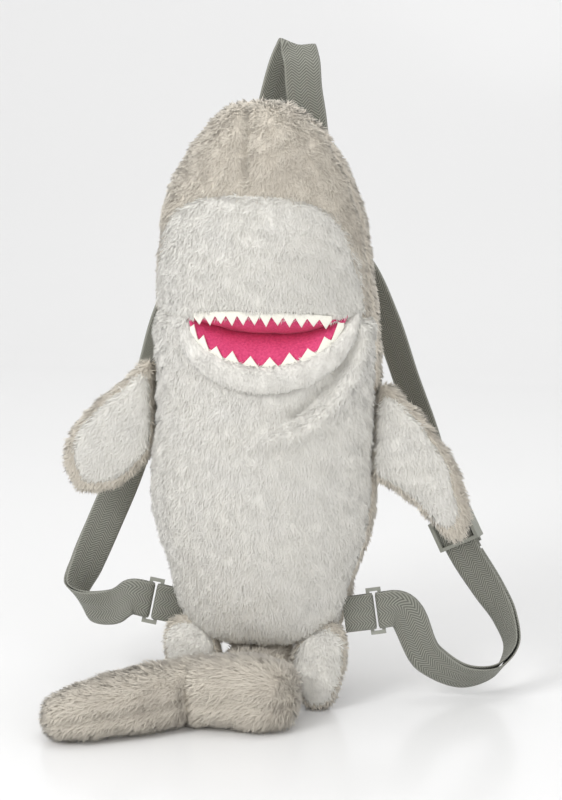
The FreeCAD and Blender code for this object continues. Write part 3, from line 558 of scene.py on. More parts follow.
# ---------------------------------------------------------------- the body
@dataclass
class Torso:
    """The body and head: fur panels laid over one closed form.

    A point of the form is given by a height z and a turn angle, 0 at the belly's middle and
    positive towards +X: x and y are superellipse coordinates of the section at that height.
    """

    wardrobe: Wardrobe
    rows: tuple = (
        (44, 3, 3, 3), (46.5, 34, 27, 25), (56, 60, 45, 41), (75, 69.5, 53, 50), (110, 79, 60, 53),
        (143, 90, 63.5, 56), (180, 94.5, 65.5, 57), (222, 93.5, 65, 58), (265, 92, 63, 58),
        (300, 91, 60, 58), (330, 90, 60, 56), (360, 87, 61, 54), (390, 84, 59.5, 52),
        (412, 80.5, 56.5, 50), (433, 73.5, 51.5, 46), (454, 62.5, 44.5, 40), (471, 50, 36, 33),
        (485, 36, 26.5, 25), (495, 21, 16, 16), (500, 2, 2, 2))
    power: float = 2.25
    flat_back: float = 53.5
    seam_turn: float = math.radians(80)
    neck: float = 328.0
    lip_middle: float = 333.0
    mouth_middle: float = 9.5
    mouth_half: float = 60.0
    jaw_middle: float = 11.0
    bottom_z: float = 44.5
    top_z: float = 499.5
    zip_low: float = 106.0
    zip_high: float = 372.0
    zip_half: float = 11.0
    zip_draw: float = 3.2
    muzzle_half: float = 80.0
    tuck: float = 4.0
    jaw_half: float = 66.0

    def section(self, z: Array) -> Array:
        """Half width, front depth and back depth at heights in millimetres."""
        t = np.linspace(0, 1, 1200)
        table = smooth_rows(self.rows, t)
        return np.stack([np.interp(z, table[:, 0], table[:, k]) for k in (1, 2, 3)], -1)

    def centre(self, z: Array) -> Array:
        """How far the body's middle stands towards +X at a height: one soft hump at the neck."""
        return 5.0 * np.exp(-((z - 285) / 75.0) ** 2)

    def form(self, z: Array, turn: Array) -> Array:
        """Places on the plain form: the superellipse section at each height, flat at the back."""
        half, front, back = np.moveaxis(self.section(z), -1, 0)
        s, c = np.sin(turn), np.cos(turn)
        x = np.sign(s) * np.abs(s) ** (2 / self.power) * half + self.centre(z)
        y = -np.sign(c) * np.abs(c) ** (2 / self.power) * np.where(c > 0, front, back)
        over = np.maximum(y - (self.flat_back - 8), 0)
        y = np.where(over > 0, self.flat_back - 8 + 8 * np.tanh(over / 8), y)
        return np.stack([x, y, z], -1) * MM

    def turn_at(self, x: Array, z: Array) -> Array:
        """The turn angle in front at which the form has this x, in millimetres."""
        half = self.section(z)[..., 0]
        share = np.clip((x - self.centre(z)) / half, -1, 1)
        return np.sign(share) * np.arcsin(np.abs(share) ** (self.power / 2))

    def relief(self, points: Array, normals: Array) -> Array:
        """Adds soft swells and hollows, each a smooth bump along the normal."""
        x, y, z = (points[..., k] / MM for k in range(3))
        front = (y < 0).astype(float)
        lift = 1.3 * ripple(points, 0.09, 4) + 0.7 * ripple(points, 0.035, 8)
        muzzle = np.exp(-((z - 372) / 34) ** 2 - (x / 66) ** 4) * front
        lift += 6.5 * muzzle
        seam = np.exp(-((x + 6 + (z - 460) * 0.10) / 5.0) ** 2) * np.clip((z - 425) / 25, 0, 1) * front
        lift -= 4.6 * seam
        dimple = np.exp(-((x + 12) / 8) ** 2 - ((z - 462) / 7) ** 2) * front
        lift -= 3.2 * dimple
        cheek = np.exp(-((np.abs(x) - 62) / 22) ** 2 - ((z - 305) / 20) ** 2) * front
        lift += 2.6 * cheek
        t = np.linspace(0, 1, 70)
        fold = smooth_rows(((86, 318), (82, 290), (66, 260), (45, 241), (18, 232)), t)
        gap = near_curve(points / MM, fold)
        lift += 7.5 * np.exp(-(gap / 7.0) ** 2) * front
        hollow = smooth_rows(((77, 315), (70, 290), (55, 266), (38, 252)), t)
        lift -= 7.0 * np.exp(-(near_curve(points / MM, hollow) / 7.0) ** 2) * front
        left = smooth_rows(((-84, 312), (-76, 284), (-58, 262)), t)
        lift += 2.6 * np.exp(-(near_curve(points / MM, left) / 7.0) ** 2) * front
        return points + normals * (lift * MM)[..., None]

    def panel(self, low: Callable, high: Callable, turns: Array, rows: int, seam: float = 3.0) -> Skin:
        """One panel between two height curves over a range of turns.

        Args:
            low: the lower edge's height at each turn.
            high: the upper edge's height.
            turns: the columns' turn angles.
            rows: how many points up each column.
            seam: how deep the panel's edges are drawn in, in millimetres.

        Returns:
            The panel's skin, its flow pointing down the body.
        """
        t = np.linspace(0, 1, rows)
        z = low(turns)[:, None] * (1 - t) + high(turns)[:, None] * t
        angle = np.broadcast_to(turns[:, None], z.shape)
        points = self.form(z, angle)
        plain = Skin(points)
        normals = plain.normals()
        points = self.relief(points, normals)
        across = np.linspace(0, 1, len(turns))[:, None]
        height = (high(turns) - low(turns))[:, None]
        ends = np.minimum(t[None] * height, (1 - t[None]) * height)
        width = np.abs(np.gradient(points[..., 0] / MM, axis=0)).sum(0)[None]
        sides = np.minimum(across, 1 - across) * np.maximum(width, 60)
        draw = seam * (np.exp(-(ends / 4.0) ** 2) + np.exp(-(sides / 4.0) ** 2))
        points = points - normals * (np.minimum(draw, seam * 1.2) * MM)[..., None]
        flow = np.zeros_like(points)
        flow[..., 2] = -1.0
        return Skin(points, flow=flow)

    def upper_lip(self, turn: Array) -> Array:
        """Height of the muzzle's lower edge: arched over the mouth, level beyond its corners."""
        x = self.form(np.full_like(turn, self.neck), turn)[..., 0] / MM
        share = np.clip(np.abs(x - self.mouth_middle) / self.mouth_half, 0, 1)
        return self.neck + (self.lip_middle - self.neck) * (1 - share ** 2) ** 0.8

    def muzzle_top(self, turn: Array, under: float = 0.0) -> Array:
        """Height of the muzzle's arched upper edge; the neck's height beyond its sides.

        Args:
            turn: turn angles.
            under: how far the edge is moved outwards, in millimetres.

        Returns:
            A height for each angle.
        """
        x = self.form(np.full_like(turn, 390.0), turn)[..., 0] / MM
        share = np.clip(np.abs(x) / (self.muzzle_half + under), 0, 1)
        sides = self.neck + (384 - self.neck) * (1 - share ** 14)
        return sides + 42 * (1 - share ** 3.0) ** 0.5 + under * (1 - share ** 40)

    def belly_top(self, turn: Array) -> Array:
        """Height of the belly's upper edge: the neck, cut down in a bowl behind the jaw."""
        x = self.form(np.full_like(turn, self.neck), turn)[..., 0] / MM
        share = np.clip(np.abs(x - self.jaw_middle) / self.jaw_half, 0, 1)
        return self.neck - 50 * np.sqrt(1 - share ** 2.0)

    def zip_path(self, back: Skin) -> Skin:
        """Draws the back in and shortens its pile along the zip, each by a share exp(-(x / zip_half)^4).

        Args:
            back: the back panel's skin.

        Returns:
            The same skin with a shallow channel down its middle.
        """
        x, z = back.points[..., 0] / MM, back.points[..., 2] / MM
        behind = (back.points[..., 1] > 0) & (z > self.zip_low) & (z < self.zip_high)
        share = np.exp(-(x / self.zip_half) ** 4) * behind
        back.points = back.points - back.normals() * (self.zip_draw * MM * share)[..., None]
        back.plush = 1 - 0.9 * share
        return back

    def build(self) -> None:
        """Makes the five fur panels and dresses them."""
        edge = self.seam_turn
        wide = np.concatenate([np.linspace(-edge, -0.9, 30)[:-1], np.linspace(-0.9, 0.9, 70),
                               np.linspace(0.9, edge, 30)[1:]])
        bottom = lambda a: np.full_like(a, self.bottom_z)
        top = lambda a: np.full_like(a, self.top_z)
        belly = self.panel(bottom, self.belly_top, wide, 130)
        side = float(self.turn_at(np.array(self.muzzle_half), np.array(360.0)))
        face = side * np.sin(np.linspace(-math.pi / 2, math.pi / 2, 151))
        wider = float(self.turn_at(np.array(self.muzzle_half + self.tuck), np.array(360.0)))
        muzzle = self.panel(self.upper_lip, lambda a: self.muzzle_top(a, self.tuck), face * wider / side, 64)
        right = np.concatenate([face[75:], np.linspace(side, edge, 30)[1:]])
        snout_right = self.panel(self.muzzle_top, top, right, 100, 2.2)
        snout_left = self.panel(self.muzzle_top, top, -right[::-1], 100, 2.2)
        round_back = np.linspace(edge, 2 * math.pi - edge, 150)
        back = self.zip_path(self.panel(bottom, top, round_back, 190))
        plan = (
            ("belly_fur", belly, "white fur", "white_fur", 11,
             ("belly_panel", "belly_stuffing")),
            ("muzzle_fur", muzzle, "white fur", "white_fur", 21, ("muzzle_panel", "head_stuffing")),
            ("snout_fur_right", snout_right, "grey fur", "grey_fur", 31, ("snout_panel_right",)),
            ("snout_fur_left", snout_left, "grey fur", "grey_fur", 41, ("snout_panel_left",)),
            ("back_fur", back, "grey fur", "grey_fur", 51, ("back_panel", "compartment_lining")),
        )
        for name, skin, finish, slot, seed, nodes in plan:
            pile = Pile(spacing=2.3 * MM, width=1.6 * MM) if name == "back_fur" else Pile()
            piece = fur_piece(name, skin, pile, seed)
            self.wardrobe.dress(piece, finish)
            settle(piece, "body", slot, *nodes)


# ---------------------------------------------------------------- mouth
@dataclass
class Mouth:
    """Palate, tongue, teeth and the padded lower lip."""

    torso: Torso
    wardrobe: Wardrobe
    middle: float = 9.5
    half: float = 60.0
    corner: float = 328.0
    rise: float = 5.0
    crease_z: float = 313.0
    crease_y: float = -30.0
    lip_radius: float = 10.8

    def front(self, x: Array, z: Array, proud: float = 0.0) -> Array:
        """The y of the body's front at a place in the front view, stood out by proud millimetres."""
        turn = self.torso.turn_at(x, z)
        return self.torso.form(z, turn)[..., 1] / MM - proud

    def crease(self, s: Array) -> Array:
        """The fold at the back of the mouth, from corner to corner: a shallow smile."""
        x = self.middle + self.half * s
        edge = self.front(x, np.full_like(x, self.corner)) + 6
        y = self.crease_y + (edge - self.crease_y) * np.abs(s) ** 5
        z = self.crease_z + (self.corner - self.crease_z) * np.abs(s) ** 2.4
        return np.stack([x, y, z], -1)

    def upper(self, s: Array, proud: float = 0.0) -> Array:
        """The upper lip's sewn edge."""
        x = self.middle + self.half * s
        z = self.corner + self.rise * (1 - np.abs(s) ** 2) ** 0.8
        return np.stack([x, self.front(x, z, proud), z], -1)

    def lip_line(self, s: Array, offset: float) -> Array:
        """A line along the lower lip in the front view, offset outwards from its middle."""
        angle = s * math.pi / 2
        x = self.middle + (self.half + 5 + offset) * np.sin(angle) + 7.0 * np.clip(s, 0, 1) ** 2
        drop = 47.0 + offset
        z = self.corner - drop * np.cos(angle) ** 0.92 + 8.0 * np.clip(s, 0, 1) ** 3
        return np.stack([x, z], -1)

    def lower(self, s: Array, proud: float) -> Array:
        """The lower lip's inner edge, where the tongue and the teeth are sewn."""
        xz = self.lip_line(s, -self.lip_radius * (0.42 + 0.58 * (1 - np.abs(s) ** 3.0)) + 1.0)
        y = self.front(xz[..., 0], xz[..., 1], proud)
        return np.stack([xz[..., 0], y, xz[..., 1]], -1)

    def sheet(self, near: Array, far: Array, rows: int, swell: float) -> Skin:
        """A surface between two lines, swollen towards the front by a power of a half sine.

        The power is small, so the cloth turns in sharply at the fold between palate and tongue.
        """
        t = np.linspace(0, 1, rows)[None, :, None]
        points = near[:, None] * (1 - t) + far[:, None] * t
        points[..., 1] -= swell * (np.abs(np.sin(np.linspace(0, math.pi, rows))) ** 0.55)[None] * (
            1 - np.linspace(-1, 1, len(near))[:, None] ** 8)
        points = points + ripple(points * MM, 0.03, 61)[..., None] * 0.5
        return Skin(points * MM)

    def teeth(self, name: str, line: Callable, count: int, height: float, up: float,
              inward: float) -> bpy.types.Object:
        """A felt strip cut into points: a triangle wave of heights along a sewn line.

        Args:
            name: the piece's name.
            line: gives the sewn line's places for s from -1 to 1.
            count: number of teeth.
            height: a tooth's length.
            up: 1 for teeth that rise, -1 for teeth that hang.
            inward: how far the tips lean into the mouth.

        Returns:
            The strip, 1.3 mm thick.
        """
        s = np.linspace(-0.93, 0.93, count * 12 + 1)
        phase = np.linspace(0, count, len(s)) % 1.0
        wave = (1 - np.abs(2 * phase - 1)) ** 1.08
        wave *= 0.72 + 0.28 * np.cos(s * 1.35) + 0.10 * np.sin(np.floor(np.linspace(0, count, len(s))) * 2.4)
        t = np.linspace(0, 1, 7)
        base = line(s)
        reach = (-3.5 + (height * wave + 3.5)[:, None] * t[None])
        points = np.repeat(base[:, None], 7, 1)
        points[..., 2] += reach * up
        points[..., 1] += inward * np.clip(reach / height, 0, 1) ** 1.3 - 0.6
        skin = Skin(points * MM)
        piece = make_mesh(name, skin.points.reshape(-1, 3), [skin.faces()], skin.chart().reshape(-1, 2))
        thick = piece.modifiers.new("felt", "SOLIDIFY")
        thick.thickness, thick.offset = 1.3 * MM, 0.0
        self.wardrobe.dress(piece, "cream felt")
        return piece

    def lip(self) -> Skin:
        """The lower lip: a padded crescent whose radius grows from the corners to the middle.

        Round each place of the middle line a section turns through a full circle, flattened
        against the belly.
        """
        s = np.linspace(-1, 1, 120)
        phi = np.linspace(0, 2 * math.pi, 40, endpoint=False)
        radius = self.lip_radius * (0.42 + 0.58 * (1 - np.abs(s) ** 3.0))
        tuck = 7.0 * np.abs(s) ** 10
        middle = self.lip_line(s, 0.0)
        out = unit(self.lip_line(s, 1.0) - middle)
        x = middle[:, 0, None] + out[:, 0, None] * radius[:, None] * np.cos(phi)
        z = middle[:, 1, None] + out[:, 1, None] * radius[:, None] * np.cos(phi)
        depth = radius * 0.72
        y = (self.front(middle[:, 0], middle[:, 1], 1.0) + tuck)[:, None] - depth[:, None] * np.sin(phi)
        taper = np.sqrt(np.clip(1 - np.abs(s) ** 26, 0, 1))[:, None]
        x = middle[:, 0, None] + (x - middle[:, 0, None]) * taper
        z = middle[:, 1, None] + (z - middle[:, 1, None]) * taper
        points = np.stack([x, y, z], -1)
        points += ripple(points * MM, 0.05, 71)[..., None] * 0.3
        points = np.swapaxes(points, 0, 1)[::-1] * MM
        flow = np.zeros_like(points)
        flow[..., 2] = -1.0
        return Skin(points, closed=True, flow=flow)

    def build(self) -> None:
        """Makes the mouth's pieces."""
        s = np.linspace(-1, 1, 90)
        palate = self.sheet(self.crease(s), self.upper(s, -2.0), 34, 8.0)
        tongue = self.sheet(self.crease(s), self.lower(s, -1.0), 44, 7.0)
        for name, skin, body, node in (("palate_fleece", palate, "body", "palate_lining"),
                                       ("tongue_fleece", tongue, "jaw", "tongue_lining")):
            piece = make_mesh(name, skin.points.reshape(-1, 3), [skin.faces()], skin.chart().reshape(-1, 2))
            thick = piece.modifiers.new("cloth", "SOLIDIFY")
            thick.thickness, thick.offset = 1.2 * MM, 0.0
            self.wardrobe.dress(piece, "pink fleece")
            settle(piece, body, "pink_fleece", node)
        upper = self.teeth("upper_felt_teeth", lambda s: self.upper(s, 1.5), 12, 8.4, -1.0, 2.0)
        settle(upper, "body", "cream_felt", "upper_teeth")
        lower = self.teeth("lower_felt_teeth", lambda s: self.lower(s * 0.97, 2.0), 10, 9.2, 1.0, 1.5)
        settle(lower, "jaw", "cream_felt", "lower_teeth")
        short = Pile(length=3.4 * MM, spacing=1.15 * MM, width=0.8 * MM, clump=0.15, unrest=0.15)
        lip = fur_piece("jaw_lip_fur", self.lip(), short, 81)
        self.wardrobe.dress(lip, "lip fur")
        settle(lip, "jaw", "white_fur", "jaw_lip", "jaw_stuffing")


# ---------------------------------------------------------------- fins and tail
@dataclass
class Fin:
    """A stuffed fin: an outline that shrinks to its middle as it swells to each face."""

    name: str
    body: str
    wardrobe: Wardrobe
    outline: tuple
    centre: tuple
    plane_y: float
    thickness: float
    border: float
    nodes_front: tuple
    nodes_back: tuple
    slant: tuple = (0.0, 0.0)
    seed: int = 100

    def shell(self, low: float, high: float, rows: int, groove: float) -> Skin:
        """The fin's skin from one level to another; -1 is the back's middle and 1 the front's.

        At a level v the outline shrinks to |cos(v pi/2)|^0.62 of itself about the centre and the
        swell is sin(v pi/2) of half the thickness, so the edge is round and both faces are crowned.
        """
        u = np.linspace(0, 1, 150, endpoint=False)
        v = np.linspace(low, high, rows)
        ring = smooth_ring(self.outline, u)
        middle = np.array(self.centre)
        angle = v * math.pi / 2
        share = np.where(np.abs(v) > 0.9999, 0.0, np.abs(np.cos(angle)) ** 0.62)
        swell = np.sin(angle) * self.thickness / 2
        xz = middle + (ring - middle)[:, None] * share[None, :, None]
        y = self.plane_y - np.broadcast_to(swell, xz.shape[:2])
        y = y + self.slant[0] * (xz[..., 0] - middle[0]) + self.slant[1] * (xz[..., 1] - middle[1])
        points = np.stack([xz[..., 0], y, xz[..., 1]], -1)
        pull = groove * np.exp(-((v - self.border) / 0.05) ** 2)
        points[..., 1] += pull[None]
        points += ripple(points * MM, 0.045, self.seed)[..., None] * 1.1
        out = np.stack([xz[..., 0] - middle[0], np.zeros(xz.shape[:2]), xz[..., 1] - middle[1]], -1)
        flow = np.broadcast_to([0.45 * np.sign(middle[0]), 0.0, -0.9], out.shape)
        skin = Skin(points * MM, closed=True, flow=flow)
        n = skin.normals()
        if (n * out).sum(-1).mean() > 0:
            return skin
        return Skin(points[::-1] * MM, closed=True, flow=flow[::-1])

    def build(self) -> None:
        """Makes the grey back with its border, and the white face set inside it."""
        seam = self.border
        for part, low, high, finish, slot, nodes in (
                ("grey", -1.0, seam, "grey fur", "grey_fur", self.nodes_back),
                ("white", seam, 1.0, "white fur", "white_fur", self.nodes_front)):
            skin = self.shell(low, high, 60 if part == "grey" else 44, 1.6)
            piece = fur_piece(f"{self.name}_{part}_fur", skin, Pile(length=6.5 * MM), self.seed)
            self.wardrobe.dress(piece, finish)
            settle(piece, self.body, slot, *nodes)


def mirrored(outline: Sequence[tuple]) -> tuple:
    """An outline on the other side, in the same turning sense."""
    return tuple((-x, z) for x, z in reversed(outline))


RIGHT_PECTORAL = ((94, 196), (94, 230), (97, 262), (106, 268), (124, 254), (148, 228), (166, 198),
                  (174, 170), (172, 152), (162, 148), (146, 162), (128, 176), (110, 186))
LEFT_PECTORAL = ((-92, 208), (-106, 190), (-122, 176), (-146, 172), (-158, 178), (-165, 200),
                 (-158, 222), (-140, 244), (-118, 262), (-98, 280), (-91, 270), (-91, 240))
RIGHT_PELVIC = ((42, 62), (33, 46), (32, 30), (40, 12), (54, 2), (66, 8), (73, 28), (76, 50),
                (72, 64), (56, 68))


@dataclass
class Tail:
    """The stem and the tail fin: tubes of changing width and height along a bent line."""

    wardrobe: Wardrobe
    spine: tuple = (
        (-146, -161, 19, 2, 2), (-141, -158, 19.5, 15, 13), (-124, -149, 21.5, 22, 18.5),
        (-98, -133, 23.5, 26, 21.5),
        (-72, -115, 25, 27.5, 23.5), (-50, -103, 26, 27, 24), (-30, -97, 27, 29, 26), (-6, -93, 27.5, 32, 27),
        (16, -92, 27, 32, 26), (34, -93, 25.5, 27, 23), (43, -94, 24, 15, 14), (46, -94, 24, 2, 2))
    stem: tuple = ((2, -6, 42, 8, 5), (2, -14, 39, 24, 14), (1, -34, 30, 27, 17), (-2, -56, 26, 27, 18),
                   (-5, -74, 24, 22, 16), (-6, -82, 24, 8, 6))

    def tube(self, rows: tuple, along: int, around: int, pinch: float, seed: int) -> Skin:
        """A flattened tube: sections across the line, their half width and half height from the table."""
        t = np.linspace(0, 1, along)
        table = smooth_rows(rows, t)
        line = table[:, :3]
        tangent = unit(np.gradient(line, axis=0) * [1, 1, 0.2])
        across = unit(np.cross(tangent, [0, 0, 1.0]))
        phi = np.linspace(0, 2 * math.pi, around, endpoint=False)
        c, s = np.cos(phi), np.sin(phi)
        width = np.sign(c) * np.abs(c) ** 0.85
        height = np.sign(s) * np.abs(s) ** 0.85
        points = (line[:, None] + across[:, None] * (table[:, 3, None] * width)[..., None]
                  + np.array([0, 0, 1.0]) * (table[:, 4, None] * height)[..., None])
        front = np.exp(-(np.angle(np.exp(1j * phi)) / 0.16) ** 2)
        points -= across[:, None] * (pinch * front)[None, :, None]
        notch = np.exp(-((points[..., 0] + 40) / 4.5) ** 2) * (points[..., 1] < -98)
        points[..., 1] += 6.0 * notch
        points += ripple(points * MM, 0.05, seed)[..., None] * 1.4
        points[..., 2] = np.maximum(points[..., 2], 1.6)
        flow = np.broadcast_to(-tangent[:, None], points.shape) + np.array([0, -0.3, -0.4])
        return Skin(np.swapaxes(points, 0, 1) * MM, closed=True, flow=np.swapaxes(flow, 0, 1)).outward()

    def build(self) -> None:
        """Makes the two grey pieces."""
        fin = self.tube(self.spine, 190, 90, 2.4, 131)
        piece = fur_piece("tail_fin_fur", fin, Pile(length=8.0 * MM, spacing=1.3 * MM), 132)
        self.wardrobe.dress(piece, "grey fur")
        settle(piece, "tail_fin", "grey_fur", "tail_fin_upper", "tail_fin_lower", "tail_fin_stuffing")
        stem = self.tube(self.stem, 70, 60, 0.0, 141)
        piece = fur_piece("tail_stem_fur", stem, Pile(length=8 * MM, spacing=2.2 * MM), 142)
        self.wardrobe.dress(piece, "grey fur")
        settle(piece, "tail_stem", "grey_fur", "tail_stem_sleeve", "tail_stem_stuffing")


# ---------------------------------------------------------------- webbing
def band(name: str, route: Sequence[tuple], samples: int = 160, width: float = 30.0,
         thickness: float = 1.5) -> bpy.types.Object:
    """A webbing band: a thin rounded section carried along a smooth line.

    The line and the direction across it are smooth paths through the route. The section is
    a superellipse of the webbing's width and thickness.

    Args:
        name: the piece's name.
        route: rows of place (3) and direction across (3), in millimetres.
        samples: sections along the line.
        width: the webbing's width.
        thickness: its thickness.

    Returns:
        The band, with a weave attribute: metres along it and the share across it.
    """
    table = smooth_path(route, samples)
    line, across = table[:, :3], table[:, 3:6]
    tangent = unit(np.gradient(line, axis=0))
    across = unit(across - tangent * (across * tangent).sum(-1, keepdims=True))
    normal = np.cross(tangent, across)
    half = np.linspace(-1, 1, 15)
    edge = np.sqrt(np.clip(1 - np.abs(half) ** 10, 0, 1))
    u = np.concatenate([half, half[-2:0:-1]])
    v = np.concatenate([edge, -edge[-2:0:-1]])
    points = line[:, None] + across[:, None] * (u * width / 2)[None, :, None] + normal[:, None] * (
        v * thickness / 2)[None, :, None]
    skin = Skin(np.swapaxes(points, 0, 1)[::-1] * MM, closed=True)
    count = samples
    caps = np.arange(len(u)) * count
    piece = make_mesh(name, skin.points.reshape(-1, 3),
                      [skin.faces(), caps[None, :], (caps + count - 1)[None, ::-1]],
                      skin.chart().reshape(-1, 2))
    run = np.concatenate([[0], np.cumsum(np.linalg.norm(np.diff(line, axis=0), axis=-1))]) * MM
    share = np.broadcast_to((u[::-1, None] + 1) / 2, (len(u), count))
    weave = np.stack([np.broadcast_to(run, (len(u), count)), share, np.zeros((len(u), count))], -1)
    attribute = piece.data.attributes.new("weave", "FLOAT_VECTOR", "POINT")
    attribute.data.foreach_set("vector", weave.reshape(-1).astype(np.float32))
    return piece


@dataclass
class Harness:
    """Hanging loop, shoulder straps, tabs, patch and the plastic that joins them."""

    wardrobe: Wardrobe

    def handle(self) -> None:
        """The hanging loop, folded over at its top and sewn behind the head."""
        route = (
            (2, 37, 448, 1, 0.1, 0.1), (-2, 45, 470, 0.8, 0.45, 0.15), (-1, 53, 492, 0.72, 0.6, 0.15),
            (6, 55, 516, 0.88, 0.4, 0), (14, 51, 533, 1, 0.1, -0.1), (19, 44, 539.5, 1, 0, -0.25),
            (24, 37, 530, 1, 0.1, -0.3), (27, 34, 505, 1, 0.15, -0.25), (31, 35, 478, 1, 0.25, -0.3),
            (33, 37, 452, 1, 0.25, -0.3))
        piece = band("hanging_loop_webbing", route, 140)
        self.wardrobe.dress(piece, "grey webbing")
        settle(piece, "handle", "grey_webbing", "hanging_loop")

    def strap(self, side: str, hang: "Hang") -> None:
        """One shoulder strap with its tab and its sewn end, all folded as real webbing is.

        The strap leaves the patch, passes the tri-glide, turns round the ring's outer bar and
        comes back behind itself; its end is folded round the tri-glide's middle bar.
        """
        strap = band(f"{side}_strap_webbing", hang.run(), 420)
        self.wardrobe.dress(strap, "grey webbing")
        settle(strap, f"{side}_strap", "grey_webbing", f"{side}_shoulder_strap")
        tab = band(f"{side}_tab_webbing", hang.tab(), 60)
        self.wardrobe.dress(tab, "grey webbing")
        settle(tab, "body", "grey_webbing", f"{side}_strap_tab")
        end = band(f"{side}_strap_end_webbing", hang.end(), 60)
        self.wardrobe.dress(end, "grey webbing")
        settle(end, f"{side}_glide", "grey_webbing", f"{side}_strap_end")

    def patch(self) -> None:
        """The wide webbing patch the straps' upper ends are sewn to."""
        route = [(x, 57.2, 404, 0, 0, 1) for x in (-50, -25, 0, 25, 50)]
        piece = band("anchor_patch_webbing", route, 60, 26.0, 2.0)
        self.wardrobe.dress(piece, "grey webbing")
        settle(piece, "body", "grey_webbing", "strap_anchor_patch")

    def build(self) -> None:
        """Makes all webbing and dresses the plastic and the zip."""
        self.handle()
        self.patch()
        self.strap("left", LEFT_HANG)
        self.strap("right", RIGHT_HANG)
        for side in ("left", "right"):
            for node in (f"{side}_strap_ring", f"{side}_tri_glide", f"zip_coil_{side}"):
                self.wardrobe.dress_node(node, "grey plastic")
            self.wardrobe.dress_node(f"zip_tape_{side}", "zip tape")
        for node in ("zip_slider", "zip_pull", "zip_stop_top", "zip_stop_bottom"):
            self.wardrobe.dress_node(node, "zip metal")


@dataclass(frozen=True)
class Hang:
    """How one strap hangs: its places, each with the direction across the webbing, in millimetres."""

    anchor: tuple
    ring: tuple
    leave: tuple
    upper: tuple
    glide: tuple
    lower: tuple
    reach: float = 9.6
    fold: float = 3.4
    layer: float = 3.2

    def basis(self) -> tuple[Array, Array, Array, Array]:
        """The ring's bar, the way out along the strap, the bar's direction and the face normal."""
        bar = np.array(self.ring, float)
        across = unit(np.array(self.anchor, float) - bar)
        out = np.array(self.leave, float)
        out = unit(out - across * (out @ across))
        return bar, out, across, np.cross(across, out)

    def turn(self, middle: Array, along: Array, normal: Array, across: Array) -> list[tuple]:
        """A half circle that starts at the normal's side, bulges against along and ends opposite."""
        angle = np.linspace(0, math.pi, 9)
        places = middle + self.fold * (np.cos(angle)[:, None] * normal - np.sin(angle)[:, None] * along)
        return [tuple(p) + tuple(across) for p in places]

    def run(self) -> list[tuple]:
        """The whole strap, patch to ring and back to the tri-glide."""
        bar, out, across, normal = self.basis()
        pivot = bar + out * self.reach
        middle, along, wide = (np.array(v, float) for v in self.glide)
        along = unit(along)
        wide = unit(wide - along * (wide @ along))
        single = [tuple(p) + tuple(w) for p, w in self.upper]
        single += [tuple(middle + along * 34) + tuple(wide), tuple(middle - along * 25) + tuple(wide)]
        lower = [tuple(p) + tuple(w) for p, w in self.lower]
        away = pivot + out * 12
        main = single + lower + [tuple(away + normal * (self.fold - 0.5)) + tuple(across)]
        main += self.turn(pivot, out, normal, across)
        track = np.array(single[-2:] + lower + [tuple(away) + tuple(across)])
        tangent = unit(track[2:, :3] - track[:-2, :3])
        side = track[1:-1, 3:]
        side = unit(side - tangent * (side * tangent).sum(-1, keepdims=True))
        back = track[1:-1, :3] - np.cross(tangent, side) * self.layer
        returns = [tuple(p) + tuple(w) for p, w in zip(back, track[1:-1, 3:])][::-1]
        return main + [tuple(away - normal * (self.fold - 0.5)) + tuple(across)] + returns

    def tab(self) -> list[tuple]:
        """The tab out of the side seam, folded round the ring's inner bar."""
        bar, out, across, normal = self.basis()
        wide = tuple(across)
        start = [tuple(bar - out * 22 + normal * 1.1) + wide, tuple(bar - out * 8 + normal * 3.0) + wide]
        finish = [tuple(bar - out * 8 - normal * 3.0) + wide, tuple(bar - out * 22 - normal * 1.1) + wide]
        return start + self.turn(bar, out * -1, normal, across) + finish

    def end(self) -> list[tuple]:
        """The strap's end, round the tri-glide's middle bar."""
        middle, along, wide = (np.array(v, float) for v in self.glide)
        along = unit(along)
        wide = unit(wide - along * (wide @ along))
        normal = -np.cross(along, wide)
        bar = middle - normal * (self.layer + self.fold - 0.4)
        ends = tuple(wide)
        start = [tuple(bar - along * 21 + normal * self.fold) + ends]
        finish = [tuple(bar - along * 17 - normal * (self.fold - 1.6)) + ends]
        return start + self.turn(bar, along * -1, normal, wide) + finish


RIGHT_HANG = Hang(
    anchor=(34, 60, 398), ring=(93, -14, 76), leave=(1, -0.05, -0.75),
    upper=(((38, 60.6, 382), (0.9, 0, 0.45)), ((66, 62, 356), (0.9, -0.1, 0.45)),
           ((92, 57, 312), (0.85, -0.4, 0.4)),
           ((112, 50, 262), (0.8, -0.5, 0.3)), ((130, 44, 212), (0.85, -0.35, 0.35))),
    glide=((157, 36, 136), (-0.45, 0.13, 0.88), (0.86, -0.2, 0.47)),
    lower=(((186, 30, 88), (0.8, -0.3, 0.5)), ((201, 27, 63), (0.62, -0.6, 0.5)),
           ((207, 20, 42), (0.43, -0.78, 0.42)), ((198, 8, 27), (0.25, -0.78, 0.55)),
           ((174, -2, 21.5), (0.18, -0.58, 0.79)), ((143, -9, 37), (0.3, -0.2, 0.93))))
LEFT_HANG = Hang(
    anchor=(-34, 60, 398), ring=(-88, -16, 74), leave=(-1, -0.15, -0.05),
    upper=(((-38, 60.6, 382), (-0.9, 0, 0.45)), ((-66, 62, 356), (-0.9, -0.1, 0.45)),
           ((-92, 57, 312), (-0.85, -0.4, 0.4))),
    glide=((-112, 44, 232), (0.24, 0.08, 0.97), (-0.95, -0.2, 0.25)),
    lower=(((-131, 37, 168), (-0.9, -0.05, 0.35)), ((-147, 29, 128), (-0.88, -0.1, 0.4)),
           ((-161, 19, 94), (-0.7, -0.4, 0.55)), ((-168, 6, 72), (-0.42, -0.6, 0.68)),
           ((-155, -8, 64), (-0.15, -0.35, 0.93)), ((-130, -14, 66), (0.1, 0.12, 0.98))))


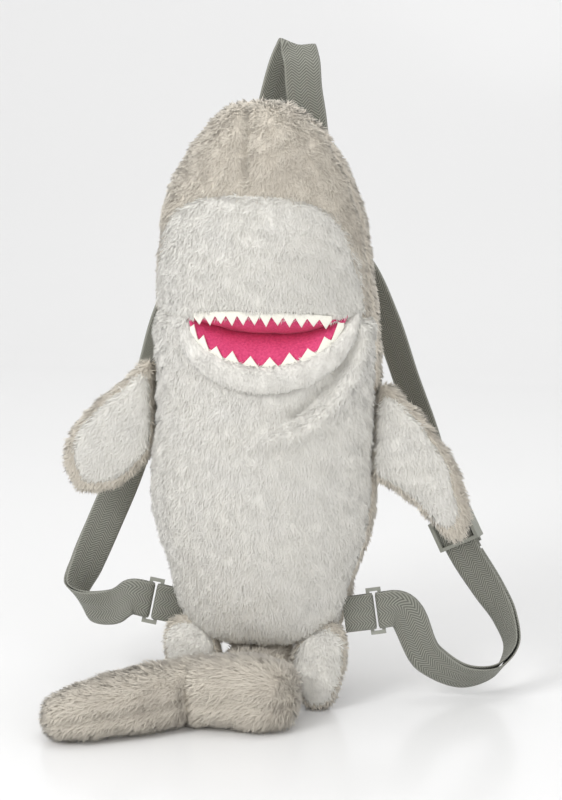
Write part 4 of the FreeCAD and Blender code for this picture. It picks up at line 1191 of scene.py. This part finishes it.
# ---------------------------------------------------------------- studio
@dataclass
class Studio:
    """Pale floor and backdrop, soft lights and the camera."""

    azimuth: float = 11.0
    elevation: float = 13.0
    distance: float = 1.95
    view_height: float = 0.664
    aim: tuple = (0.0145, 0.0, 0.2505)
    sensor: float = 24.0
    floor_end: float = 1.2
    bend: float = 0.8

    def backdrop(self) -> None:
        """A floor that curves up into a wall: a profile of floor, quarter circle and wall."""
        turn = np.linspace(0, math.pi / 2, 20)[1:]
        flat = np.linspace(-2.5, self.floor_end, 30)
        y = np.concatenate([flat, self.floor_end + self.bend * np.sin(turn), [2.0]])
        z = np.concatenate([np.zeros(30), self.bend - self.bend * np.cos(turn), [3.2]])
        x = np.linspace(-3, 3, 3)
        points = np.stack([np.broadcast_to(x[:, None], (3, len(y))), np.broadcast_to(y, (3, len(y))),
                           np.broadcast_to(z, (3, len(y)))], -1)
        skin = Skin(points)
        piece = make_mesh("studio_backdrop", skin.points.reshape(-1, 3), [skin.faces()])
        material = bpy.data.materials.new("pale floor")
        material.use_nodes = True
        shader = material.node_tree.nodes["Principled BSDF"]
        shader.inputs["Base Color"].default_value = (0.90, 0.90, 0.90, 1)
        shader.inputs["Roughness"].default_value = 0.22
        shader.inputs["Specular IOR Level"].default_value = 0.45
        piece.data.materials.append(material)

    def light(self, name: str, place: tuple, size: float, power: float) -> None:
        """One soft square light aimed at the middle of the object."""
        data = bpy.data.lights.new(name, "AREA")
        data.energy, data.size = power, size
        lamp = bpy.data.objects.new(name, data)
        lamp.location = place
        way = np.array([0.0, 0.0, 0.25]) - np.array(place)
        pitch = math.acos(-way[2] / np.linalg.norm(way))
        lamp.rotation_euler = (pitch, 0, math.atan2(way[1], way[0]) - math.pi / 2)
        bpy.context.collection.objects.link(lamp)

    def camera(self) -> None:
        """The camera on its azimuth and elevation, framed by the height seen at the object."""
        a, e = math.radians(self.azimuth), math.radians(self.elevation)
        back = np.array([math.sin(a) * math.cos(e), -math.cos(a) * math.cos(e), math.sin(e)])
        data = bpy.data.cameras.new("camera")
        data.sensor_fit = "VERTICAL"
        data.sensor_height = self.sensor
        data.lens = self.sensor * self.distance / self.view_height
        camera = bpy.data.objects.new("camera", data)
        camera.location = np.array(self.aim) + OFFSET + back * self.distance
        camera.rotation_euler = (math.pi / 2 - e, 0, a)
        bpy.context.collection.objects.link(camera)
        bpy.context.scene.camera = camera

    def build(self) -> None:
        """Sets the stage."""
        self.camera()
        self.backdrop()
        self.light("key", (-1.1, -1.5, 1.7), 0.9, 22.0)
        self.light("fill", (1.6, -1.5, 0.9), 1.6, 6.0)
        self.light("top", (0.1, 0.2, 2.2), 1.4, 9.0)
        world = bpy.data.worlds.new("studio")
        world.use_nodes = True
        world.node_tree.nodes["Background"].inputs[0].default_value = (1.0, 1.0, 1.0, 1)
        world.node_tree.nodes["Background"].inputs[1].default_value = 0.72
        bpy.context.scene.world = world
        bpy.context.scene.view_settings.view_transform = "Standard"


def build_fins(wardrobe: Wardrobe) -> None:
    """Both pectoral and both pelvic fins."""
    fins = (
        Fin("right_pectoral", "right_pectoral_fin", wardrobe, RIGHT_PECTORAL, (118, 222), -13, 25, 0.45,
            ("right_pectoral_underside",), ("right_pectoral_top", "right_pectoral_stuffing"),
            (-0.1, 0.1), 101),
        Fin("left_pectoral", "left_pectoral_fin", wardrobe, LEFT_PECTORAL, (-110, 229), -13, 25, 0.45,
            ("left_pectoral_underside",), ("left_pectoral_top", "left_pectoral_stuffing"), (0.1, 0.1), 111),
        Fin("right_pelvic", "right_pelvic_fin", wardrobe, RIGHT_PELVIC, (54, 36), -38, 20, 0.40,
            ("right_pelvic_front",), ("right_pelvic_back", "right_pelvic_stuffing"), (0.0, 0.3), 116),
        Fin("left_pelvic", "left_pelvic_fin", wardrobe, mirrored(RIGHT_PELVIC), (-54, 36), -38, 20, 0.40,
            ("left_pelvic_front",), ("left_pelvic_back", "left_pelvic_stuffing"), (0.0, 0.3), 121),
    )
    for fin in fins:
        fin.build()


def main() -> None:
    """Builds the studio, then each sub-assembly in order."""
    logging.basicConfig(level=logging.INFO, format="%(message)s")
    Studio().build()
    wardrobe = Wardrobe()
    torso = Torso(wardrobe)
    torso.build()
    Mouth(torso, wardrobe).build()
    build_fins(wardrobe)
    Tail(wardrobe).build()
    Harness(wardrobe).build()
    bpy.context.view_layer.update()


if __name__ == "__main__":
    main()
